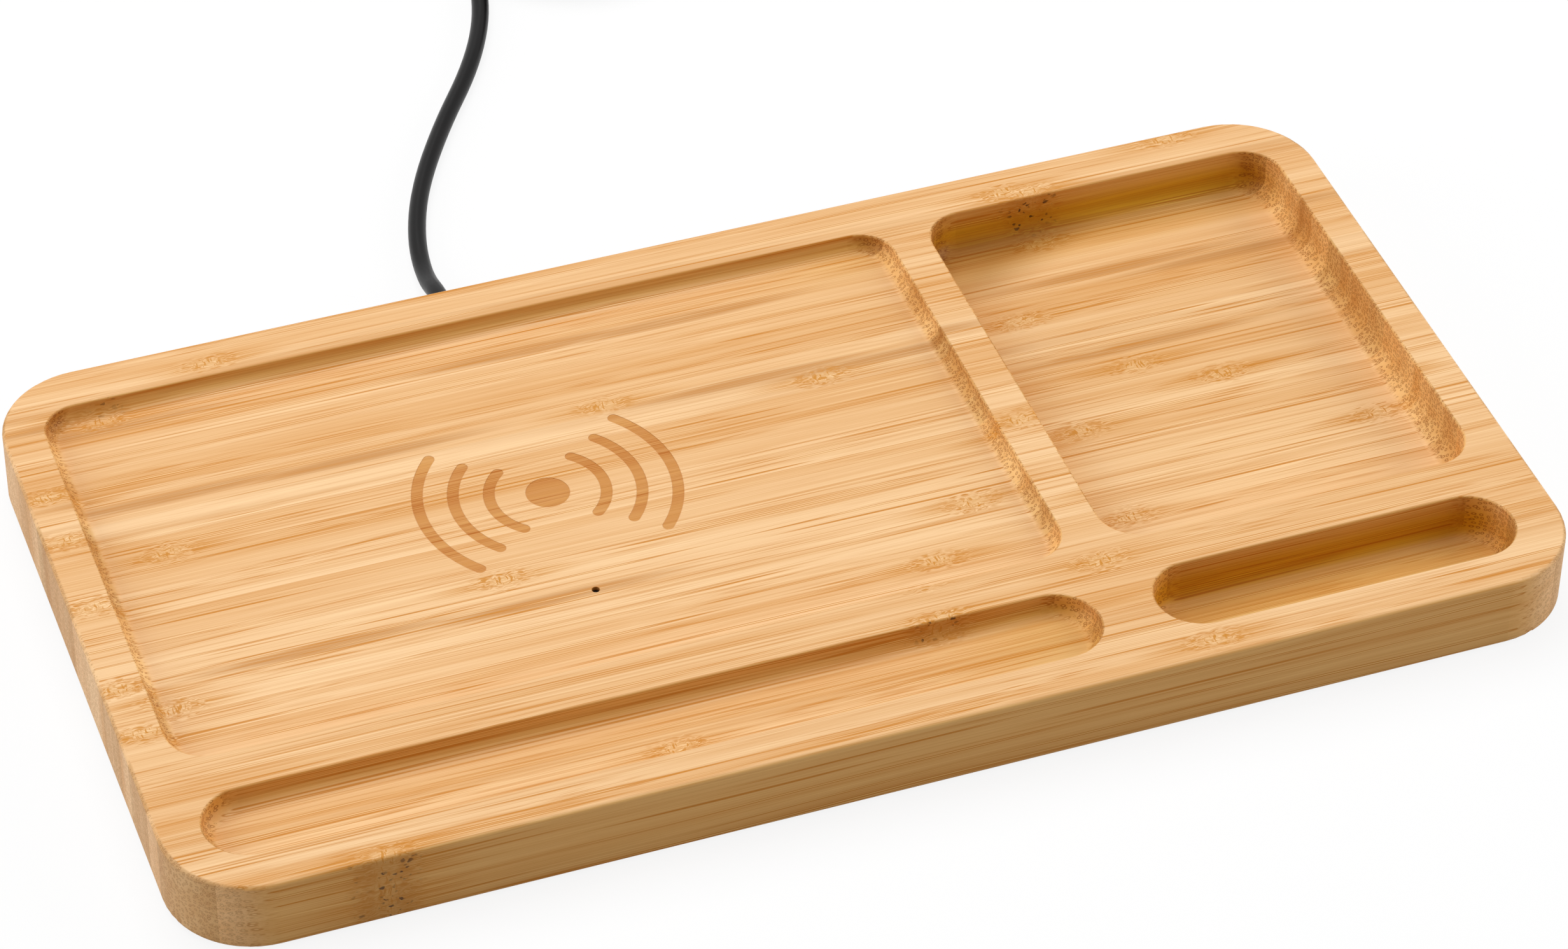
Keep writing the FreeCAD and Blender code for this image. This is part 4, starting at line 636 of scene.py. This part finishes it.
def strap_finish(look):
    """Woven tie: crossing threads with a soft nap."""
    skin = Finish("woven_strap", Sheen_Weight=0.4, Specular_IOR_Level=0.2)
    x, y, z = skin.split(skin.place)
    warp = skin.math("SINE", skin.math("MULTIPLY", y, math.tau / 0.7))
    weft = skin.math("SINE", skin.math("MULTIPLY", skin.math("ADD", x, z), math.tau / 0.7))
    thread = skin.span(skin.math("MULTIPLY", warp, weft), 0.5, 1.0)
    nap = skin.noise(skin.place, (0.25, 0.25, 0.25), 3.0)
    height = skin.math("MULTIPLY_ADD", nap, 0.6, thread)
    dark = tuple(0.45 * level for level in look.strap)
    base = skin.blend(dark, look.strap, skin.fade(height, 0.3, 1.5))
    skin.relief(height, 0.0001, 0.8)
    return skin.paint(base, skin.span(nap, 0.75, 0.95))


def dress(nodes, finish):
    """Gives CAD nodes a finish."""
    for name in nodes:
        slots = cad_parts[name].data.materials
        slots.clear()
        slots.append(finish)


def shown(name, mesh, finish):
    """A new piece of the tray with its finish."""
    piece = bpy.data.objects.new(name, mesh)
    bpy.context.scene.collection.objects.link(piece)
    mesh.materials.append(finish)
    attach(piece, BODY)
    return piece


def coil_turns():
    """The points round the coil: in to the eye on the desk, up and out again above."""
    points = []
    x, y = COIL_START
    step = math.pi / COIL_STEPS
    outside = 1.0 / math.cos(step / 2)
    low, high = COIL_LEVELS
    for number, radius in enumerate((*COIL_RADII, COIL_LAST_RADIUS)):
        toward = 1 if number % 2 == 0 else -1
        steps = COIL_STEPS if number < len(COIL_RADII) else COIL_STEPS // 2
        for count in range(steps):
            turned = (count + 0.5) * step
            rise = 0.0 if number < COIL_CLIMB else 1.0
            if number == COIL_CLIMB:
                rise = (1 - math.cos(turned)) / 2
            points.append((
                x + toward * radius * (1 - outside * math.cos(turned)),
                y + toward * radius * outside * math.sin(turned),
                low + (high - low) * rise))
        x += 2 * toward * radius
    return points


def lathe(mesh_builder, profile, middle, axis, steps=48):
    """Turns a profile of (radius, along) points round an axis through the middle."""
    rest = Vector(axis).orthogonal().normalized()
    spots = [mesh_builder.verts.new(Vector(middle) + rest * radius + Vector(axis) * along)
             for radius, along in profile]
    edges = [mesh_builder.edges.new(pair) for pair in zip(spots, spots[1:])]
    bmesh.ops.spin(mesh_builder, geom=spots + edges, cent=middle, axis=axis, dvec=(0, 0, 0),
                   angle=math.tau, steps=steps, use_merge=True, use_duplicate=False)
    bmesh.ops.remove_doubles(mesh_builder, verts=mesh_builder.verts, dist=1e-6)
    bmesh.ops.recalc_face_normals(mesh_builder, faces=mesh_builder.faces)


def finished_mesh(name, mesh_builder, sharp_angle=40.0):
    """The built mesh, smooth but for its sharp edges."""
    for face in mesh_builder.faces:
        face.smooth = True
    limit = math.radians(sharp_angle)
    for edge in mesh_builder.edges:
        edge.smooth = len(edge.link_faces) == 2 and edge.calc_face_angle() < limit
    mesh = bpy.data.meshes.new(name)
    mesh_builder.to_mesh(mesh)
    mesh_builder.free()
    return mesh


class CHARGETRAY_OT_board(bpy.types.Operator):
    """Gives the board its bamboo"""

    bl_idname = "chargetray.board"
    bl_label = "Bamboo board"

    def execute(self, context):
        dress(["tray_body"], bamboo(context.scene.tray_bamboo))
        return {"FINISHED"}


class CHARGETRAY_OT_charger(bpy.types.Operator):
    """Dresses the charger under the board"""

    bl_idname = "chargetray.charger"
    bl_label = "Charger"

    def execute(self, context):
        for nodes, name, light, dark, grain, roughness in CHARGER_FINISHES:
            dress(nodes, moulded(name, tone(*light), tone(*dark), grain, roughness))
        # Painted shade: the light guide is dark brown so that the hole over it looks dark.
        dress(["light_guide"], moulded(
            "smoked_guide", tone(38, 26, 18), tone(26, 18, 14), 0.2, 0.45, Specular_IOR_Level=0.1))
        dress(["charging_coil"], brushed(
            "enamelled_copper", tone(196, 120, 70), tone(160, 86, 46), (0.4, 0.4, 0.08), 0.32,
            Coat_Weight=0.4))
        dress(["coil_terminals"], brushed(
            "tinned", tone(206, 206, 202), tone(176, 176, 172), (0.1, 0.5, 0.1), 0.34))
        return {"FINISHED"}


def cross_screw(build, radius, sunk, shank, length):
    """One countersunk screw with a cross recess, its head down and its point up."""
    arm_share, half_share, floor_share, depth_share = CROSS_SHARES
    arm, half = radius * arm_share, radius * half_share
    wide = radius * HEAD_FLAT_SHARE
    quarter = ((arm, -half), (arm, half), (half, half))
    spots = [build.verts.new((*(Matrix.Rotation(turn * math.pi / 2, 2) @ Vector(spot)), 0.0))
             for turn in range(4) for spot in quarter]
    cross = [build.edges.new(pair) for pair in zip(spots, spots[1:] + spots[:1])]
    made = bmesh.ops.create_circle(build, segments=32, radius=wide)["verts"]
    rim = list({edge for spot in made for edge in spot.link_edges})
    bmesh.ops.triangle_fill(build, use_beauty=True, edges=cross + rim, normal=(0, 0, 1))
    pit = bmesh.ops.extrude_edge_only(build, edges=cross)["geom"]
    low = [item for item in pit if isinstance(item, bmesh.types.BMVert)]
    bmesh.ops.scale(build, vec=(floor_share, floor_share, 1.0), verts=low)
    bmesh.ops.translate(build, vec=(0, 0, sunk * depth_share), verts=low)
    floor = [item for item in pit if isinstance(item, bmesh.types.BMEdge)]
    bmesh.ops.contextual_create(build, geom=floor)
    steps = (
        (radius, SCREW_EDGE), (shank, sunk), (shank, length - shank), (SCREW_POINT, length))
    for reach, height in steps:
        grown = bmesh.ops.extrude_edge_only(build, edges=rim)["geom"]
        rim = [item for item in grown if isinstance(item, bmesh.types.BMEdge)]
        ring = [item for item in grown if isinstance(item, bmesh.types.BMVert)]
        bmesh.ops.scale(build, vec=(reach / wide, reach / wide, 1.0), verts=ring)
        bmesh.ops.translate(build, vec=(0, 0, height - ring[0].co.z), verts=ring)
        wide = reach
    bmesh.ops.contextual_create(build, geom=rim)
    bmesh.ops.recalc_face_normals(build, faces=build.faces)


class CHARGETRAY_OT_underside(bpy.types.Operator):
    """Dresses the closing plate, its screws and the feet"""

    bl_idname = "chargetray.underside"
    bl_label = "Underside"

    def execute(self, context):
        dress(["bottom_cover"], moulded(
            "cover_plastic", tone(52, 52, 54), tone(38, 38, 40), 0.35, 0.58, 0.00005))
        zinc = brushed(
            "zinc_steel", tone(204, 204, 206), tone(168, 168, 172), (0.12, 0.12, 0.4), 0.34)
        dress(["holder_screws", "board_screws", "clamp_screws"], zinc)
        self.screws(zinc)
        self.feet()
        return {"FINISHED"}

    def screws(self, zinc):
        """Six countersunk screws in the plate, each stopped at its own turn."""
        low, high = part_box("cover_screws")
        columns = (low.x + SCREW_HEAD, high.x - SCREW_HEAD)
        rows = (low.y + SCREW_HEAD, (low.y + high.y) / 2, high.y - SCREW_HEAD)
        build = bmesh.new()
        for number, (x, y) in enumerate((x, y) for x in columns for y in rows):
            one = bmesh.new()
            cross_screw(one, SCREW_HEAD, SCREW_SUNK, SCREW_SHANK, high.z - low.z)
            turn = Matrix.Rotation(SCREW_TURN * number, 4, "Z")
            place = Matrix.Translation((x, y, low.z)) @ turn
            bmesh.ops.transform(one, matrix=place, verts=one.verts)
            turned = bpy.data.meshes.new("one_screw")
            one.to_mesh(turned)
            one.free()
            build.from_mesh(turned)
            bpy.data.meshes.remove(turned)
        piece = shown("cross_screws", finished_mesh("cross_screws", build, 30.0), zinc)
        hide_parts("cover_screws")

    def feet(self):
        """Four rubber feet, each with a rounded tread and a shallow dish."""
        rubber = moulded("foot_rubber", tone(62, 62, 62), tone(46, 46, 46), 0.25, 0.78, 0.00004)
        for node in ("foot_front_left", "foot_front_right", "foot_back_left", "foot_back_right"):
            low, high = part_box(node)
            middle = ((low.x + high.x) / 2, (low.y + high.y) / 2, 0.0)
            radius, height = (high.x - low.x) / 2, high.z
            build = bmesh.new()
            tread = [(radius - inward, up) for inward, up in FOOT_TREAD]
            dish = (0.0, FOOT_TREAD[-1][1])
            lathe(build, ((0.0, height), (radius, height), *tread, dish), middle, (0, 0, 1))
            foot = shown("rubber_" + node, finished_mesh(node, build), rubber)
            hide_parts(node)


class CHARGETRAY_OT_cable(bpy.types.Operator):
    """Lays the free cable from the back of the tray through its coil to the plug"""

    bl_idname = "chargetray.cable"
    bl_label = "Cable"

    def execute(self, context):
        look = context.scene.tray_cable
        points = [*CABLE_ROUTE, *coil_turns(), *PLUG_LEAD]
        line = bpy.data.curves.new("usb_cable", "CURVE")
        line.dimensions = "3D"
        spline = line.splines.new("NURBS")
        spline.points.add(len(points) - 1)
        for point, place in zip(spline.points, points):
            point.co = (*place, 1.0)
        spline.order_u = 3
        spline.use_endpoint_u = True
        spline.resolution_u = 6
        line.bevel_depth = look.diameter / 2
        line.bevel_resolution = 5
        line.use_fill_caps = True
        jacket = jacket_finish(look)
        cable = shown("usb_cable", line, jacket)
        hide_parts("power_cable", "cable_coil", "plug_lead")
        dress(["inner_cable"], jacket)
        return {"FINISHED"}


class CHARGETRAY_OT_tie(bpy.types.Operator):
    """Wraps the woven tie round the coil, its rounded tail laid over itself"""

    bl_idname = "chargetray.tie"
    bl_label = "Coil tie"

    def execute(self, context):
        low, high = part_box("cable_tie")
        over = high.z + TIE_LAP
        build = bmesh.new()
        path = [build.verts.new((x, low.y, z)) for x, z in (
            (low.x + TIE_START, high.z), (high.x, high.z), (high.x, low.z), (low.x, low.z),
            (low.x, over), (high.x - TIE_END, over))]
        for first, second in zip(path, path[1:]):
            build.edges.new((first, second))
        bmesh.ops.bevel(build, geom=path[1:-1], offset=TIE_BEND, affect="VERTICES", segments=8,
                        profile=0.5, material=-1)
        band = bmesh.ops.extrude_edge_only(build, edges=build.edges)["geom"]
        moved = [item for item in band if isinstance(item, bmesh.types.BMVert)]
        bmesh.ops.translate(build, verts=moved, vec=(0, high.y - low.y, 0))
        tips = [spot for spot in build.verts
                if spot.co.z > high.z + TIE_LAP / 2 and spot.co.x > high.x - TIE_END - TIE_LAP / 2]
        bmesh.ops.bevel(build, geom=tips, offset=TIE_BEND, affect="VERTICES", segments=6,
                        profile=0.5, material=-1)
        bmesh.ops.recalc_face_normals(build, faces=build.faces)
        mesh = finished_mesh("coil_tie", build)
        tie = shown("coil_tie", mesh, strap_finish(context.scene.tray_cable))
        wall = tie.modifiers.new("strap thickness", "SOLIDIFY")
        wall.thickness = TIE_THICKNESS
        wall.offset = -1.0
        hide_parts("cable_tie")
        return {"FINISHED"}


class CHARGETRAY_OT_plug(bpy.types.Operator):
    """Dresses the plug at the cable's end and gives its grip ribs"""

    bl_idname = "chargetray.plug"
    bl_label = "Plug"

    def execute(self, context):
        soft = moulded("grip_plastic", tone(46, 46, 48), tone(34, 34, 36), 0.3, 0.52, 0.00004)
        dress(["plug_grip", "plug_relief"], soft)
        dress(["plug_shell"], brushed(
            "shell_steel", tone(212, 212, 214), tone(184, 184, 188), (1.2, 0.08, 0.08), 0.28))
        dress(["plug_insert"], moulded(
            "tongue_plastic", tone(236, 236, 232), tone(220, 220, 216), 0.3, 0.42))
        dress(["plug_contacts"], brushed(
            "gold_contact", tone(232, 196, 110), tone(206, 164, 80), (0.6, 0.06, 0.06), 0.25))
        low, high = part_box("plug_grip")
        middle = (low + high) / 2
        build = bmesh.new()
        for number in range(RIB_COUNT):
            x = low.x + RIB_START + number * RIB_STEP
            self.rib(build, (x, middle.y, high.z), RIB_ABOVE)
            for y in (low.y, high.y):
                self.rib(build, (x, y, middle.z), RIB_BESIDE)
        shown("grip_ribs", finished_mesh("grip_ribs", build), soft)
        return {"FINISHED"}

    def rib(self, build, place, size):
        """One rounded rib, half of it in the grip."""
        made = bmesh.ops.create_cube(build, size=1.0)["verts"]
        bmesh.ops.scale(build, vec=size, verts=made)
        edges = list({edge for spot in made for edge in spot.link_edges})
        shape = bmesh.ops.bevel(build, geom=edges, offset=min(size) * RIB_ROUND_SHARE,
                                affect="EDGES", segments=3, profile=0.5, material=-1)
        bmesh.ops.translate(build, vec=place, verts=shape["verts"])


class CHARGETRAY_OT_grommet(bpy.types.Operator):
    """Turns the rubber grommet where the cable leaves the back"""

    bl_idname = "chargetray.grommet"
    bl_label = "Cable grommet"

    def execute(self, context):
        low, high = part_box("cable_grommet")
        reach = (high.x - low.x) / 2
        bore = context.scene.tray_cable.diameter / 2 + GROMMET_PLAY
        seat, face = high.y - GROMMET_LIP, high.y
        middle = ((low.x + high.x) / 2, 0.0, (low.z + high.z) / 2)
        build = bmesh.new()
        lathe(build, (
            (bore, low.y), (GROMMET_NECK, low.y), (GROMMET_NECK, seat),
            *((reach - inward, seat + up) for inward, up in GROMMET_RISE),
            *((reach - inward, face - under) for inward, under in GROMMET_EDGE),
            *((bore + outward, face - under) for outward, under in GROMMET_MOUTH),
            (bore, low.y)), middle, (0, 1, 0))
        rubber = moulded("grommet_rubber", tone(48, 47, 47), tone(36, 35, 35), 0.25, 0.66, 0.00004)
        mesh = finished_mesh("rubber_grommet", build, 50.0)
        grommet = shown("rubber_grommet", mesh, rubber)
        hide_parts("cable_grommet")
        return {"FINISHED"}


class CHARGETRAY_OT_studio(bpy.types.Operator):
    """Sets the floor, the light and the photograph's camera"""

    bl_idname = "chargetray.studio"
    bl_label = "Studio"

    def execute(self, context):
        look = context.scene.tray_studio
        self.floor(context, look)
        self.world(context, look)
        for name, setting, place, width in LAMPS:
            self.lamp(context, name, getattr(look, setting), place, width)
        self.camera(context)
        context.scene.view_settings.view_transform = "Standard"
        return {"FINISHED"}

    def seen(self, tree):
        """1 for what the camera, a mirror or a glass sees, and 0 for light that spreads."""
        path = tree.nodes.new("ShaderNodeLightPath")
        result = path.outputs["Is Camera Ray"]
        for name in ("Is Glossy Ray", "Is Transmission Ray"):
            node = tree.nodes.new("ShaderNodeMath")
            node.operation = "MAXIMUM"
            tree.links.new(result, node.inputs[0])
            tree.links.new(path.outputs[name], node.inputs[1])
            result = node.outputs[0]
        return result

    def ranged(self, tree, value, low, high):
        """0 to 1 turned into low to high."""
        node = tree.nodes.new("ShaderNodeMapRange")
        tree.links.new(value, node.inputs["Value"])
        node.inputs["To Min"].default_value = low
        node.inputs["To Max"].default_value = high
        return node.outputs["Result"]

    def floor(self, context, look):
        """A wide pale floor that shows white and keeps a soft shadow."""
        build = bmesh.new()
        bmesh.ops.create_grid(build, x_segments=2, y_segments=2, size=FLOOR_REACH)
        floor = bpy.data.objects.new("floor", finished_mesh("floor", build))
        context.scene.collection.objects.link(floor)
        material = bpy.data.materials.new("floor")
        material.use_nodes = True
        tree = material.node_tree
        tree.nodes.clear()
        matte = tree.nodes.new("ShaderNodeBsdfDiffuse")
        tint = tree.nodes.new("ShaderNodeMix")
        tint.data_type = "RGBA"
        sockets = [s for s in tint.inputs if s.enabled]
        sockets[1].default_value = (look.bounce, look.bounce, look.bounce, 1.0)
        sockets[2].default_value = (*look.floor, 1.0)
        tree.links.new(self.seen(tree), sockets[0])
        tree.links.new(next(s for s in tint.outputs if s.enabled), matte.inputs["Color"])
        glow = tree.nodes.new("ShaderNodeEmission")
        mix = tree.nodes.new("ShaderNodeMixShader")
        out = tree.nodes.new("ShaderNodeOutputMaterial")
        tree.links.new(self.ranged(tree, self.seen(tree), 0.0, look.glow), mix.inputs["Fac"])
        tree.links.new(matte.outputs[0], mix.inputs[1])
        tree.links.new(glow.outputs[0], mix.inputs[2])
        tree.links.new(mix.outputs[0], out.inputs["Surface"])
        floor.data.materials.append(material)

    def world(self, context, look):
        """Even light from all round, white where it is seen."""
        world = bpy.data.worlds.new("studio")
        world.use_nodes = True
        context.scene.world = world
        tree = world.node_tree
        sky = tree.nodes["Background"]
        sky.inputs["Color"].default_value = (1.0, 1.0, 1.0, 1.0)
        strength = self.ranged(tree, self.seen(tree), look.ambient, 1.0)
        tree.links.new(strength, sky.inputs["Strength"])

    def lamp(self, context, name, power, place, width):
        """A large soft lamp turned to the tray."""
        data = bpy.data.lights.new(name, "AREA")
        data.shape = "RECTANGLE"
        data.size = data.size_y = width
        data.energy = power
        lamp = bpy.data.objects.new(name, data)
        lamp.location = place
        lamp.rotation_euler = (-Vector(place)).to_track_quat("-Z", "Y").to_euler()
        context.scene.collection.objects.link(lamp)

    def camera(self, context):
        """The photograph's camera."""
        data = bpy.data.cameras.new("camera")
        data.lens = CAMERA_LENS
        data.sensor_width = CAMERA_SENSOR
        data.sensor_fit = "HORIZONTAL"
        data.clip_start, data.clip_end = 0.01, 100.0
        camera = bpy.data.objects.new("camera", data)
        context.scene.collection.objects.link(camera)
        turn = Matrix((CAMERA_RIGHT, CAMERA_UP, CAMERA_BACK)).transposed().to_4x4()
        camera.matrix_world = Matrix.Translation(CAMERA_PLACE) @ turn
        context.scene.camera = camera


class CHARGETRAY_PT_pieces(bpy.types.Panel):
    """The tray's pieces"""

    bl_idname = "CHARGETRAY_PT_pieces"
    bl_label = "Charging tray"
    bl_space_type = "VIEW_3D"
    bl_region_type = "UI"
    bl_category = "Charging tray"

    def draw(self, context):
        for piece in PIECES:
            self.layout.operator(piece.bl_idname)
        for settings in ("tray_bamboo", "tray_cable", "tray_studio"):
            group = getattr(context.scene, settings)
            for name in group.__annotations__:
                self.layout.prop(group, name)


SETTINGS = {
    "tray_bamboo": BambooSettings,
    "tray_cable": CableSettings,
    "tray_studio": StudioSettings,
}
PIECES = (
    CHARGETRAY_OT_studio,
    CHARGETRAY_OT_tie,
    CHARGETRAY_OT_plug,
    CHARGETRAY_OT_cable,
    CHARGETRAY_OT_board,
    CHARGETRAY_OT_charger,
    CHARGETRAY_OT_underside,
    CHARGETRAY_OT_grommet,
)
CLASSES = (*SETTINGS.values(), *PIECES, CHARGETRAY_PT_pieces)


def register():
    """Adds the tray's classes and settings."""
    for item in CLASSES:
        bpy.utils.register_class(item)
    for name, group in SETTINGS.items():
        setattr(bpy.types.Scene, name, bpy.props.PointerProperty(type=group))


def unregister():
    """Takes the tray's classes and settings away."""
    for name in SETTINGS:
        delattr(bpy.types.Scene, name)
    for item in reversed(CLASSES):
        bpy.utils.unregister_class(item)


def main():
    """Makes every piece in order."""
    register()
    bpy.ops.chargetray.studio()
    bpy.ops.chargetray.tie()
    bpy.ops.chargetray.plug()
    bpy.ops.chargetray.cable()
    bpy.ops.chargetray.board()
    bpy.ops.chargetray.charger()
    bpy.ops.chargetray.underside()
    bpy.ops.chargetray.grommet()


if __name__ == "__main__":
    main()
